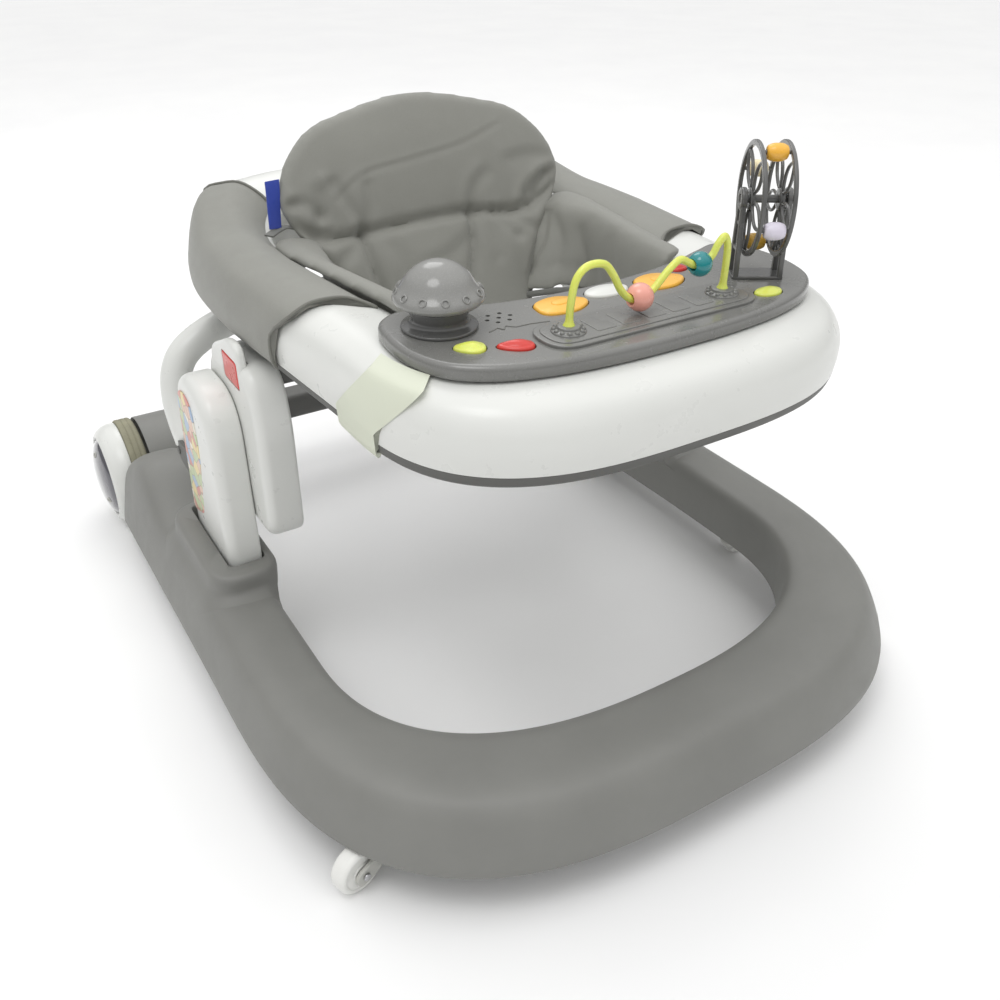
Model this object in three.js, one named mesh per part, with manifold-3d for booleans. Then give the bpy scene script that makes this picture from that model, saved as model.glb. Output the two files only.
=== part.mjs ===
// Baby walker on a U-shaped base: two side posts carry a seat ring with a toy tray.
// Millimetres. +X is the child's left-to-right seen from the front, the toy tray faces -Y, +Z is up.
// Inside this file y is measured backwards from the middle of the front rim; the outer group
// moves the walker so that its origin is the middle of its footprint.
import * as THREE from 'three';
import { mergeVertices } from 'three/addons/utils/BufferGeometryUtils.js';
import Module from 'manifold-3d';

const wasm = await Module();
wasm.setup();

// ---------- driving dimensions ----------
const GAP = 0.3;                       // space left between neighbouring pieces
const SIDES = { left: -1, right: 1 };

// base
const BASE_HALF_WIDTH = 310;
const BASE_FRONT = -3;
const BASE_CORNER_Y = 300;             // where the rounded front runs into the straight rails
const RAIL_REAR = 682;
const INNER_HALF_WIDTH = 233;
const INNER_FRONT = 86;
const INNER_CORNER_Y = 257;
const INNER_POWER = 2.5;
const RAIL_TOP = 98;
const RAIL_REAR_TOP = 128;             // the rails climb towards the rear axle housings
const RAIL_NOSE = { y: 600, drop: 45 }; // and dip again where they end
const RIM_FRONT_Z = 43;                // the rim clears the casters, then drops towards the rear
const RIM_REAR_Z = 33;
const CORNER_POWER = 3;                // superellipse power of the rounded corners

// rear wheels
const WHEEL_R = 61;
const AXLE_Y = 715;
const AXLE_Z = WHEEL_R;
const WHEEL_INNER_X = 268;
const TYRE_WIDTH = 19;
const CAP_WIDTH = 24;
const LENS_R = 45;
const AXLE_R = 6;
const DRUM_R = 60;
const DRUM_INNER_X = 214;

// casters
const CASTER_R = 20;
const CASTER_WIDTH = 15;
const CASTER_TRAIL = 25;
const CASTERS = {
  front_left: { x: -252, y: 112, heading: -165, roof: 91 },
  front_right: { x: 252, y: 112, heading: -15, roof: 91 },
  mid_left: { x: -272, y: 262, heading: 100, roof: 96 },
  mid_right: { x: 272, y: 262, heading: 80, roof: 96 },
};

// side posts and sliders
const POST_OUT_X = 263;
const POST_IN_X = 233;
const POST_FRONT_Y = 388;
const POST_REAR_Y = 499;
const POST_FOOT_Z = 60;
const POST_TOP_Z = 283;
const SOCKET_TOP_Z = 120;
const SLIDER_IN_X = 200;
const SLIDER_FOOT_Z = 155;

// ring
const RING_HALF_WIDTH = 202;
const RING_HALF_REAR = 216;            // the ring grows wider behind the tray
const RING_FRONT = 73;
const RING_REAR = 640;
const RING_BOTTOM_Z = 326;
const CREST_Z = 377;
const CREST_RISE = 3;
const REAR_RISE = 19;                  // the ring stands higher behind the child
const INNER_LIP_DROP = 8;

// tray
const TRAY_Z = 378;
const TRAY_TOP = 389;
const BUTTON_TRAVEL = 2.5;

// ferris wheel
const FERRIS = { x: 124, y: 170, z: 448, r: 42, half: 12.5, turn: -32 };

const COLOURS = {
  baseGrey: 0x7d7e7a, white: 0xf3f4ef, cream: 0xe9ecd8, trimGrey: 0x5c5d5b, tyre: 0x8f8c78,
  lens: 0x55545c, seatGrey: 0x84857f, trayGrey: 0x74746f, lime: 0xdfe86f, orange: 0xf3b53f,
  red: 0xd23c33, pink: 0xeaa596, teal: 0x0c8a8c, steel: 0xb9bcbe, lightGrey: 0xc9c9c4,
  darkToy: 0x5a5a59, yellow: 0xf2b93e, pale: 0xf3e6bd, lilac: 0xdcd5e2, ochre: 0xd8a63c,
};

// ---------- small helpers ----------
const { PI, abs, cos, max, min, pow, sign, sin, sqrt } = Math;
const rad = (degrees) => (degrees * PI) / 180;
const lerp = (a, b, t) => a + (b - a) * t;
const smooth = (lo, hi, v) => THREE.MathUtils.smoothstep(v, lo, hi);
const v3 = (x, y, z) => new THREE.Vector3(x, y, z);

const walker = new THREE.Group();

function add(name, geometry, colour, roughness = 0.5, metalness = 0, parent = walker) {
  const material = new THREE.MeshStandardMaterial({ color: COLOURS[colour], roughness, metalness });
  const mesh = new THREE.Mesh(geometry, material);
  mesh.name = name;
  parent.add(mesh);
  return mesh;
}

function weld(geometry) {
  const bare = geometry.clone();
  bare.deleteAttribute('normal');
  bare.deleteAttribute('uv');
  return mergeVertices(bare, 1e-3);
}

function signedVolume(geometry) {
  const p = geometry.attributes.position;
  const index = geometry.index.array;
  const [a, b, c] = [v3(0, 0, 0), v3(0, 0, 0), v3(0, 0, 0)];
  let volume = 0;
  for (let i = 0; i < index.length; i += 3) {
    a.fromBufferAttribute(p, index[i]);
    b.fromBufferAttribute(p, index[i + 1]);
    c.fromBufferAttribute(p, index[i + 2]);
    volume += a.dot(b.cross(c)) / 6;
  }
  return volume;
}

// A welded copy whose faces point out.
function outward(geometry) {
  const solid = weld(geometry);
  if (signedVolume(solid) > 0) return solid;
  const index = solid.index.array;
  for (let i = 0; i < index.length; i += 3) [index[i], index[i + 1]] = [index[i + 1], index[i]];
  return solid;
}

function toManifold(geometry) {
  const solid = outward(geometry);
  return new wasm.Manifold(new wasm.Mesh({
    numProp: 3,
    vertProperties: new Float32Array(solid.attributes.position.array),
    triVerts: new Uint32Array(solid.index.array),
  }));
}

function fromManifold(manifold) {
  const mesh = manifold.getMesh();
  const geometry = new THREE.BufferGeometry();
  geometry.setAttribute('position', new THREE.BufferAttribute(mesh.vertProperties, 3));
  geometry.setIndex(new THREE.BufferAttribute(mesh.triVerts, 1));
  return geometry;
}

function join(...geometries) {
  return fromManifold(geometries.map(toManifold).reduce((a, b) => a.add(b)));
}

function cut(geometry, ...tools) {
  return fromManifold(tools.map(toManifold).reduce((a, b) => a.subtract(b), toManifold(geometry)));
}

function box(x0, x1, y0, y1, z0, z1) {
  const geometry = new THREE.BoxGeometry(x1 - x0, y1 - y0, z1 - z0);
  return geometry.translate((x0 + x1) / 2, (y0 + y1) / 2, (z0 + z1) / 2);
}

// A cylinder from one x to another, about the line (y, z).
function barX(r, x0, x1, y, z, segments = 24) {
  const geometry = new THREE.CylinderGeometry(r, r, x1 - x0, segments);
  return geometry.rotateZ(PI / 2).translate((x0 + x1) / 2, y, z);
}

function barZ(r, x, y, z0, z1, segments = 20) {
  const geometry = new THREE.CylinderGeometry(r, r, z1 - z0, segments);
  return geometry.rotateX(PI / 2).translate(x, y, (z0 + z1) / 2);
}

// A turned piece about Z from [radius, z] points that start and end on the axis.
function turned(points, segments = 24) {
  const profile = points.map(([r, z]) => new THREE.Vector2(r, z));
  return outward(new THREE.LatheGeometry(profile, segments).rotateX(PI / 2));
}

// A shape in the XY plane made thick along Z from z0 to z1, with rounded edges.
function slab(shape, z0, z1, bevel = 1.5, curveSegments = 3, bevelSegments = 1) {
  const geometry = new THREE.ExtrudeGeometry(shape, {
    depth: z1 - z0 - 2 * bevel, bevelEnabled: bevel > 0, bevelThickness: bevel, bevelSize: bevel,
    bevelOffset: -bevel, bevelSegments, curveSegments, steps: 1,
  });
  return geometry.translate(0, 0, z0 + bevel);
}

// A shape drawn in (y, z) made thick along X from x0 to x1, with rounded edges.
function plateX(shape, x0, x1, bevel = 3, curveSegments = 3, bevelSegments = 1) {
  const axes = new THREE.Matrix4().makeBasis(v3(0, 1, 0), v3(0, 0, 1), v3(1, 0, 0));
  return slab(shape, x0, x1, bevel, curveSegments, bevelSegments).applyMatrix4(axes);
}

// A closed outline through corner points, each rounded back by up to its own distance: [x, y, r].
function roundedShape(corners) {
  const shape = new THREE.Shape();
  corners.forEach(([x, y, r], i) => {
    const here = new THREE.Vector2(x, y);
    const before = new THREE.Vector2(...corners.at(i - 1).slice(0, 2));
    const after = new THREE.Vector2(...corners[(i + 1) % corners.length].slice(0, 2));
    const reach = min(r, 0.48 * here.distanceTo(before), 0.48 * here.distanceTo(after));
    const entry = here.clone().add(before.sub(here).setLength(reach));
    const exit = here.clone().add(after.sub(here).setLength(reach));
    if (i === 0) shape.moveTo(entry.x, entry.y);
    else shape.lineTo(entry.x, entry.y);
    shape.quadraticCurveTo(x, y, exit.x, exit.y);
  });
  shape.closePath();
  return shape;
}

function splineShape(points) {
  const curve = new THREE.CatmullRomCurve3(points.map(([x, y]) => v3(x, y, 0)), true, 'centripetal');
  return new THREE.Shape(curve.getPoints(points.length * 2).slice(0, -1)
    .map((p) => new THREE.Vector2(p.x, p.y)));
}

// A body lofted through rings of points. Closed lofts join the last ring to the first.
function loft(rings, closed = false) {
  const count = rings[0].length;
  const positions = rings.flat().flatMap((p) => [p.x, p.y, p.z]);
  const index = [];
  const last = closed ? rings.length : rings.length - 1;
  for (let i = 0; i < last; i += 1) {
    const a = i * count;
    const b = ((i + 1) % rings.length) * count;
    for (let j = 0; j < count; j += 1) {
      const k = (j + 1) % count;
      index.push(a + j, b + j, b + k, a + j, b + k, a + k);
    }
  }
  if (!closed) index.push(...endCap(rings[0], 0, false), ...endCap(rings.at(-1), last * count, true));
  const geometry = new THREE.BufferGeometry();
  geometry.setAttribute('position', new THREE.Float32BufferAttribute(positions, 3));
  geometry.setIndex(index);
  return outward(geometry);
}

// Triangles that close the end of a loft, found in the end ring's own plane.
function endCap(ring, offset, flip) {
  const origin = ring[0];
  const across = v3(0, 0, 0);
  ring.forEach((p) => {
    const d = p.clone().sub(origin).setZ(0);
    if (d.length() > across.length()) across.copy(d);
  });
  across.normalize();
  const flat = ring.map((p) => new THREE.Vector2(p.clone().sub(origin).dot(across), p.z));
  const clockwise = THREE.ShapeUtils.isClockWise(flat);
  const faces = THREE.ShapeUtils.triangulateShape(flat, []);
  return faces.flatMap(([a, b, c]) => (flip === clockwise ? [a, b, c] : [a, c, b]).map((n) => n + offset));
}

// A rod of round section along a smooth curve.
function rod(points, radius, steps, sides = 10) {
  const section = new THREE.Shape().absarc(0, 0, radius, 0, 2 * PI, false);
  const path = new THREE.CatmullRomCurve3(points.map((p) => v3(...p)), false, 'centripetal');
  return new THREE.ExtrudeGeometry(section, { steps, extrudePath: path, curveSegments: sides / 2 });
}

function mirrored(geometry, side) {
  return side > 0 ? geometry : outward(geometry.clone().scale(-1, 1, 1));
}

// ---------- base ----------
// A point on the rounded front: t runs from -1 (left) through 0 (front middle) to 1 (right).
function frontPoint(t, halfWidth, front, cornerY, power = CORNER_POWER) {
  const angle = (t * PI) / 2;
  const x = sign(t) * halfWidth * pow(abs(sin(angle)), 2 / power);
  const y = cornerY - (cornerY - front) * pow(max(cos(angle), 0), 2 / power);
  return new THREE.Vector2(x, y);
}

const rimZ = (y) => lerp(RIM_FRONT_Z, RIM_REAR_Z, smooth(BASE_CORNER_Y, RAIL_REAR, y));

function railTop(y) {
  const nose = max(y - RAIL_NOSE.y, 0) / (RAIL_REAR - RAIL_NOSE.y);
  return lerp(RAIL_TOP, RAIL_REAR_TOP, smooth(500, 600, y)) - RAIL_NOSE.drop * nose * nose;
}

// Rail section: share of the width from the outer rim inward, share of the height.
const RAIL_OUTSIDE = [
  [0, 0], [0.006, 0.12], [0.05, 0.36], [0.11, 0.6], [0.18, 0.8], [0.26, 0.92], [0.36, 0.975], [0.5, 1],
  [0.7, 1], [0.86, 0.985], [0.94, 0.93], [0.985, 0.8], [1, 0.55], [1, 0],
];
const RAIL_INSIDE = [
  [0.955, 0], [0.955, 0.55], [0.94, 0.78], [0.89, 0.89], [0.8, 0.93], [0.5, 0.935], [0.37, 0.9], [0.28, 0.83],
  [0.21, 0.69], [0.15, 0.51], [0.095, 0.3], [0.055, 0],
];

function railSection(outer, inner) {
  return [...RAIL_OUTSIDE, ...RAIL_INSIDE].map(([u, w]) => {
    const y = lerp(outer.y, inner.y, u);
    return v3(lerp(outer.x, inner.x, u), y, lerp(rimZ(y), railTop(y), w));
  });
}

function railStations() {
  const bend = 7;
  const straight = [0.3, 0.55, 0.66, 0.74, 0.82, 0.9, 1];
  const sections = [];
  for (let i = -bend; i <= bend; i += 1) {
    const outer = frontPoint(i / bend, BASE_HALF_WIDTH, BASE_FRONT, BASE_CORNER_Y);
    const inner = frontPoint(i / bend, INNER_HALF_WIDTH, INNER_FRONT, INNER_CORNER_Y, INNER_POWER);
    sections.push(railSection(outer, inner));
  }
  straight.forEach((s) => {
    const yOuter = lerp(BASE_CORNER_Y, RAIL_REAR, s);
    const yInner = lerp(INNER_CORNER_Y, RAIL_REAR, s);
    const ends = (side) => [new THREE.Vector2(side * BASE_HALF_WIDTH, yOuter),
      new THREE.Vector2(side * INNER_HALF_WIDTH, yInner)];
    sections.push(railSection(...ends(SIDES.right)));
    sections.unshift(railSection(...ends(SIDES.left)));
  });
  return sections;
}

function socketBlock() {
  const shape = roundedShape([[222, 364, 14], [284, 364, 16], [284, 514, 18], [222, 514, 14]]);
  return slab(shape, 52, SOCKET_TOP_Z, 4, 3, 2);
}

function socketSlot() {
  return box(POST_IN_X - 2.2, POST_OUT_X + 2.5, POST_FRONT_Y - 3, POST_REAR_Y + 6, 58, 130);
}

// A boss for the caster's stem, hung from the rail's skin by a stub on its inner side.
function casterPad({ x, y, roof }) {
  return join(barZ(12, x, y, RIM_FRONT_Z + 14, 78, 12), barZ(8, 0.976 * x, y + 4, 70, roof, 12));
}

function casterBore({ x, y }) {
  return barZ(4.4, x, y, RIM_FRONT_Z, RIM_FRONT_Z + 34, 12);
}

function baseFrame() {
  const blocks = Object.values(SIDES).map((side) => mirrored(socketBlock(), side));
  const slots = Object.values(SIDES).map((side) => mirrored(socketSlot(), side));
  const wheelRoom = Object.values(SIDES)
    .map((side) => mirrored(barX(WHEEL_R + 5, 190, 330, AXLE_Y, AXLE_Z, 36), side));
  const pads = Object.values(CASTERS).map(casterPad);
  const bores = Object.values(CASTERS).map(casterBore);
  return cut(join(loft(railStations()), ...blocks, ...pads), ...slots, ...wheelRoom, ...bores);
}

add('base_frame', baseFrame(), 'baseGrey', 0.62);

// ---------- rear axle, housings and wheels ----------
// The housing is a drum open below, wrapped by the rail in front of it.
function axleHousing() {
  const x1 = WHEEL_INNER_X - 1.5;
  const drum = barX(DRUM_R, DRUM_INNER_X, x1, AXLE_Y, AXLE_Z, 32);
  const hollow = barX(DRUM_R - 4, DRUM_INNER_X + 4, x1 - 4, AXLE_Y, AXLE_Z, 32);
  const boss = barX(13, DRUM_INNER_X + 2, x1 - 2, AXLE_Y, AXLE_Z, 16);
  const bore = barX(AXLE_R + 0.5, DRUM_INNER_X - 5, x1 + 5, AXLE_Y, AXLE_Z, 16);
  const belly = box(DRUM_INNER_X - 5, x1 + 5, AXLE_Y - 80, AXLE_Y + 80, -5, 26);
  return cut(join(cut(drum, hollow), boss), belly, bore);
}

function rearBeam() {
  const y = AXLE_Y + 2;
  const shape = roundedShape([[y - 17, 80, 6], [y + 17, 80, 6], [y + 17, 112, 6], [y - 17, 112, 6]]);
  const reach = DRUM_INNER_X - GAP;
  return plateX(shape, -reach, reach, 1);
}

// Tyre and cap are turned about the axle: local z runs outward along it.
function tyre() {
  const w = TYRE_WIDTH;
  return turned([[13, 0], [WHEEL_R - 3, 0], [WHEEL_R, 3], [WHEEL_R, w - 2], [WHEEL_R - 1.5, w],
    [13, w], [13, 0]], 28);
}

function wheelCap() {
  const z0 = TYRE_WIDTH + GAP;
  const z1 = z0 + CAP_WIDTH;
  return turned([[10, z0], [WHEEL_R - 2, z0], [WHEEL_R - 2.5, z0 + 7], [WHEEL_R - 6, z0 + 15],
    [WHEEL_R - 11, z1 - 2], [LENS_R + 2, z1], [LENS_R + 0.5, z1 - 2], [LENS_R + 0.5, z1 - 7],
    [10, z1 - 7], [10, z0]], 28);
}

function wheelLens() {
  const z0 = TYRE_WIDTH + CAP_WIDTH + GAP - 6.6;
  return turned([[0, z0], [LENS_R, z0], [LENS_R, z0 + 4], [LENS_R - 6, z0 + 9], [LENS_R - 18, z0 + 13.5],
    [LENS_R - 33, z0 + 15.6], [0, z0 + 16]], 24);
}

function rearAxle() {
  const inner = DRUM_INNER_X + 6;
  return barX(AXLE_R, inner, WHEEL_INNER_X + TYRE_WIDTH + 12, AXLE_Y, AXLE_Z, 16);
}

add('rear_beam', rearBeam(), 'trimGrey', 0.6);
for (const [name, side] of Object.entries(SIDES)) {
  add(`axle_housing_${name}`, mirrored(axleHousing(), side), 'baseGrey', 0.6);
  add(`rear_axle_${name}`, mirrored(rearAxle(), side), 'steel', 0.3, 0.9);
  const wheel = new THREE.Group();
  wheel.position.set(side * WHEEL_INNER_X, AXLE_Y, AXLE_Z);
  wheel.rotation.y = (side * PI) / 2;
  walker.add(wheel);
  add(`rear_tyre_${name}`, tyre(), 'tyre', 0.8, 0, wheel);
  add(`rear_wheel_cap_${name}`, wheelCap(), 'white', 0.4, 0, wheel);
  add(`rear_wheel_lens_${name}`, wheelLens(), 'lens', 0.12, 0, wheel);
}

// ---------- casters ----------
// The fork stands at its swivel axis; the wheel trails behind it along local +X.
function casterFork() {
  const half = CASTER_WIDTH / 2;
  const cheekShape = roundedShape([[-9, 33, 4], [9, 33, 6], [CASTER_TRAIL + 9, CASTER_R + 3, 7],
    [CASTER_TRAIL + 6, CASTER_R - 8, 7], [CASTER_TRAIL - 9, CASTER_R - 6, 6]]);
  const upright = new THREE.Matrix4().makeBasis(v3(1, 0, 0), v3(0, 0, 1), v3(0, -1, 0));
  const cheek = slab(cheekShape, half + 1, half + 4.5, 0, 3).applyMatrix4(upright);
  const otherCheek = cheek.clone().translate(0, 2 * half + 5.5, 0);
  const crown = box(-9, 5, -half - 4.4, half + 4.4, 28, 32.9);
  const stem = barZ(3.9, 0, 0, 30, RIM_FRONT_Z + 31, 12);
  const axle = new THREE.CylinderGeometry(2.2, 2.2, CASTER_WIDTH + 7, 10)
    .translate(CASTER_TRAIL, 0, CASTER_R);
  return join(cheek, otherCheek, crown, stem, axle);
}

function casterWheel() {
  const half = CASTER_WIDTH / 2;
  return turned([[2.7, -half], [CASTER_R - 2, -half], [CASTER_R, -half + 2.5], [CASTER_R, half - 2.5],
    [CASTER_R - 2, half], [2.7, half], [2.7, -half]], 20);
}

for (const [name, spot] of Object.entries(CASTERS)) {
  const swivel = new THREE.Group();
  swivel.position.set(spot.x, spot.y, 0);
  swivel.rotation.z = rad(spot.heading);
  walker.add(swivel);
  add(`caster_fork_${name}`, casterFork(), 'lightGrey', 0.4, 0.2, swivel);
  const wheel = add(`caster_wheel_${name}`, casterWheel(), 'white', 0.5, 0, swivel);
  wheel.position.set(CASTER_TRAIL, 0, CASTER_R);
  wheel.rotation.x = PI / 2;
}

// ---------- posts, sliders and release buttons ----------
const RAIL_Y = [418, 452];             // the post's guide rail, front and rear face

function post() {
  const shape = roundedShape([[POST_FRONT_Y, POST_FOOT_Z, 9], [POST_REAR_Y, POST_FOOT_Z, 9],
    [POST_REAR_Y, 110, 20], [480, POST_TOP_Z, 24], [POST_FRONT_Y, POST_TOP_Z, 58]]);
  const guide = box(POST_IN_X - 9, POST_IN_X + 4, RAIL_Y[0], RAIL_Y[1], SOCKET_TOP_Z + 3, POST_TOP_Z - 12);
  return join(plateX(shape, POST_IN_X, POST_OUT_X, 4), guide);
}

// The slider hangs from the ring and runs on the post's guide rail.
function slider() {
  const outX = POST_IN_X - 0.5;
  const shape = roundedShape([[351, SLIDER_FOOT_Z, 18], [474, SLIDER_FOOT_Z, 10], [474, 286, 16],
    [440, 313.5, 20], [362, 313.5, 22], [349, 270, 20]]);
  const knob = roundedShape([[376, 294, 6], [456, 294, 6], [452, 308, 10], [404, 330, 14], [378, 330, 10]]);
  const body = join(plateX(shape, SLIDER_IN_X, outX, 4), plateX(knob, 224, outX, 2));
  const groove = box(POST_IN_X - 10, POST_IN_X + 2, RAIL_Y[0] - 0.7, RAIL_Y[1] + 0.7, 100, 305);
  return cut(body, groove, buttonWell());
}

const BUTTON = { y0: 382, y1: 418, z0: 291, z1: 315, depth: 9 };

function buttonWell() {
  const { y0, y1, z0, z1, depth } = BUTTON;
  return box(POST_IN_X - 0.5 - depth, POST_IN_X + 5, y0 - 0.6, y1 + 0.6, z0 - 0.6, z1 + 0.6);
}

function releaseButton() {
  const { y0, y1, z0, z1 } = BUTTON;
  return plateX(roundedShape([[y0, z0, 3], [y1, z0, 3], [y1, z1, 3], [y0, z1, 3]]), 227, 232.4, 0.8);
}

function ringBracket() {
  const shape = roundedShape([[384, 284, 4], [448, 284, 4], [448, 313.4, 3], [384, 313.4, 3]]);
  return plateX(shape, 150, SLIDER_IN_X - GAP, 1);
}

for (const [name, side] of Object.entries(SIDES)) {
  add(`post_${name}`, mirrored(post(), side), 'white', 0.4);
  add(`slider_${name}`, mirrored(slider(), side), 'white', 0.4);
  add(`release_button_${name}`, mirrored(releaseButton(), side), 'red', 0.4);
  add(`ring_bracket_${name}`, mirrored(ringBracket(), side), 'trimGrey', 0.6);
}

// ---------- push handle ----------
const HANDLE_PIVOT = { x: 248, y: 522, z: 176 };
const HANDLE_R = 15;

function handlePath() {
  const half = [[248, 541, 194], [247, 556, 214], [242, 564, 236], [231, 568, 253], [208, 573, 266],
    [170, 582, 274], [90, 594, 277]];
  const left = half.map(([x, y, z]) => [-x, y, z]);
  return [...half, [0, 598, 277], ...left.reverse()];
}

function pushHandle() {
  const { x, y, z } = HANDLE_PIVOT;
  const neck = roundedShape([[y - 4, z - 14, 5], [y + 16, z - 8, 8], [y + 34, z + 24, 8], [y + 6, z + 32, 8],
    [y - 14, z + 4, 5]]);
  const eye = join(barX(15, x - 8.5, x + 8.5, y, z, 20), plateX(neck, x - 8.5, x + 8.5, 1));
  const eyes = Object.values(SIDES).map((side) => mirrored(eye, side));
  const holes = Object.values(SIDES).map((side) => mirrored(barX(4.6, x - 20, x + 20, y, z, 12), side));
  return cut(join(rod(handlePath(), HANDLE_R, 32), ...eyes), ...holes);
}

// Two ears on a plate behind the post, with the pivot pin through them.
function handleHinge() {
  const { x, y, z } = HANDLE_PIVOT;
  const ear = roundedShape([[496, z - 14, 2], [y + 4, z - 12, 8], [y + 8, z + 4, 8], [y, z + 11, 6],
    [494, z + 14, 2]]);
  const ears = [x - 13.5, x + 9.5].map((x0) => plateX(ear, x0, x0 + 4, 0));
  const plate = roundedShape([[495.2, z - 26, 1], [499.2, z - 26, 1], [494.8, z + 16, 1], [490.8, z + 16, 1]]);
  return join(...ears, plateX(plate, x - 13.5, x + 13.5, 0), barX(4, x - 13, x + 13, y, z, 12));
}

add('push_handle', pushHandle(), 'white', 0.35);
for (const [name, side] of Object.entries(SIDES)) {
  add(`handle_hinge_${name}`, mirrored(handleHinge(), side), 'trimGrey', 0.5);
}

// ---------- ring ----------
// Closed outline: rounded front, straight sides, rounded rear.
const OUTER = { half: RING_HALF_WIDTH, front: RING_FRONT, y1: 240, halfRear: RING_HALF_REAR, y2: 420,
  rear: RING_REAR, power: 3, rearPower: 3.8 };
const CREST = { half: 173, front: 112, y1: 250, halfRear: 181, y2: 420, rear: 610, power: 3, rearPower: 3.6 };
const INNER = { half: 130, front: 226, y1: 296, halfRear: 152, y2: 430, rear: 568, power: 3, rearPower: 3.4 };

// s runs 0..1 round the right half from the front middle to the rear middle.
function halfOutline(curve, s) {
  const [bend, side] = [0.4, 0.6];
  if (s <= bend) return frontPoint(s / bend, curve.half, curve.front, curve.y1, curve.power);
  if (s < side) {
    const t = (s - bend) / (side - bend);
    return new THREE.Vector2(lerp(curve.half, curve.halfRear, t), lerp(curve.y1, curve.y2, t));
  }
  const behind = frontPoint((1 - s) / (1 - side), curve.halfRear, -curve.rear, -curve.y2, curve.rearPower);
  return new THREE.Vector2(behind.x, -behind.y);
}

function outline(curve, s) {
  const wrapped = ((s % 2) + 2) % 2;
  if (wrapped <= 1) return halfOutline(curve, wrapped);
  const p = halfOutline(curve, 2 - wrapped);
  return new THREE.Vector2(-p.x, p.y);
}

const crestZ = (y) => CREST_Z + CREST_RISE * smooth(300, 520, y) + REAR_RISE * smooth(500, 600, y);

// A point of the ring's skin: u from the outer rim (0) over the crest (1) to the inner lip (2),
// raised by `out` along the skin.
function skin(s, u, z, out = 0) {
  const a = outline(OUTER, s);
  const b = outline(CREST, s);
  const c = outline(INNER, s);
  const p = u <= 1 ? a.clone().lerp(b, u) : b.clone().lerp(c, u - 1);
  const away = a.clone().sub(c).setLength(out);
  p.add(away);
  return v3(p.x, p.y, z);
}

function shellSection(s) {
  const top = crestZ(outline(CREST, s).y);
  const lip = crestZ(outline(INNER, s).y) - INNER_LIP_DROP;
  const low = RING_BOTTOM_Z;
  return [
    skin(s, 0, low), skin(s, 0, low + 14, 1.5), skin(s, 0.02, low + 28), skin(s, 0.25, top - 9),
    skin(s, 0.6, top - 2.5), skin(s, 1, top), skin(s, 1.55, lerp(top, lip, 0.45)), skin(s, 1.93, lip),
    skin(s, 2, lip - 5), skin(s, 2, low + 15),
    skin(s, 2, low + 15, 3), skin(s, 1.9, lip - 5), skin(s, 1, top - 3.5), skin(s, 0.6, top - 6),
    skin(s, 0.3, top - 13), skin(s, 0.1, low + 24), skin(s, 0, low + 12, -2.5), skin(s, 0, low, -3),
  ];
}

function around(section, steps, from = 0, to = 2) {
  const closed = to - from >= 2;
  const rings = [];
  for (let i = 0; i < steps + (closed ? 0 : 1); i += 1) rings.push(section(lerp(from, to, i / steps)));
  return loft(rings, closed);
}

function trimSection(s) {
  const low = RING_BOTTOM_Z;
  return [
    skin(s, 0, low - 0.4), skin(s, 0, low - 8, -3), skin(s, 0, low - 12, -10), skin(s, 1.6, low - 12),
    skin(s, 1.97, low - 4), skin(s, 2, low + 14.5), skin(s, 1.9, low + 14.5), skin(s, 1.85, low - 2),
    skin(s, 1.6, low - 7), skin(s, 0, low - 7, -12), skin(s, 0, low - 0.4, -12),
  ];
}

// A grey padded cover lies over each side of the ring and its rear corner.
const COVER_SPAN = { right: [0.5, 0.8], left: [1.2, 1.5] };

function coverSection(s) {
  const top = crestZ(outline(CREST, s).y);
  const lip = crestZ(outline(INNER, s).y) - INNER_LIP_DROP;
  const low = RING_BOTTOM_Z;
  return [
    skin(s, 0, low - 1, 3), skin(s, 0, low + 14, 7.5), skin(s, 0.02, low + 28, 7),
    skin(s, 0.25, top - 4, 5), skin(s, 0.6, top + 3), skin(s, 1, top + 5),
    skin(s, 1.55, lerp(top, lip, 0.45) + 4.5), skin(s, 1.72, lerp(top, lip, 0.7) + 1),
    skin(s, 1.55, lerp(top, lip, 0.45) + 0.9), skin(s, 1, top + 1), skin(s, 0.6, top - 0.5, 1),
    skin(s, 0.25, top - 7, 2), skin(s, 0.02, low + 28.5, 2), skin(s, 0, low + 14, 3.2),
    skin(s, 0, low - 1, 1.2),
  ];
}

function collarSection(s) {
  const low = RING_BOTTOM_Z;
  return [
    skin(s, 0, low - 15.5, -30), skin(s, 0, low - 15.5, -6), skin(s, 0, low - 8, 2.5),
    skin(s, 0, low, 3.2), skin(s, 0, low + 14, 4.8), skin(s, 0.02, low + 28, 3.8), skin(s, 0.25, CREST_Z - 5.5, 3.2),
    skin(s, 0.4, CREST_Z - 2.4, 2.2),
    skin(s, 0.38, CREST_Z - 4.6, 1.2), skin(s, 0.25, CREST_Z - 8, 1.2), skin(s, 0.02, low + 28.5, 1.6),
    skin(s, 0, low + 14, 2.6), skin(s, 0, low, 1.2),
    skin(s, 0, low - 8, 0.2), skin(s, 0, low - 12.5, -8), skin(s, 0, low - 12.5, -30),
  ];
}

// Cell box and sounder hang inside the hollow of the ring, under the tray.
function batteryBox() {
  const shape = roundedShape([[-44, 136, 5], [44, 136, 5], [44, 196, 5], [-44, 196, 5]]);
  return slab(shape, 330, 362, 1.5, 3);
}

add('ring_shell', around(shellSection, 40), 'white', 0.35);
add('ring_trim', around(trimSection, 40), 'trimGrey', 0.6);
for (const [name, span] of Object.entries(COVER_SPAN)) {
  add(`ring_cover_${name}`, around(coverSection, 6, ...span), 'baseGrey', 0.55);
}
add('ring_collar', around(collarSection, 4, -0.4, -0.34), 'cream', 0.6);
add('battery_box', batteryBox(), 'trimGrey', 0.6);

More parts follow.
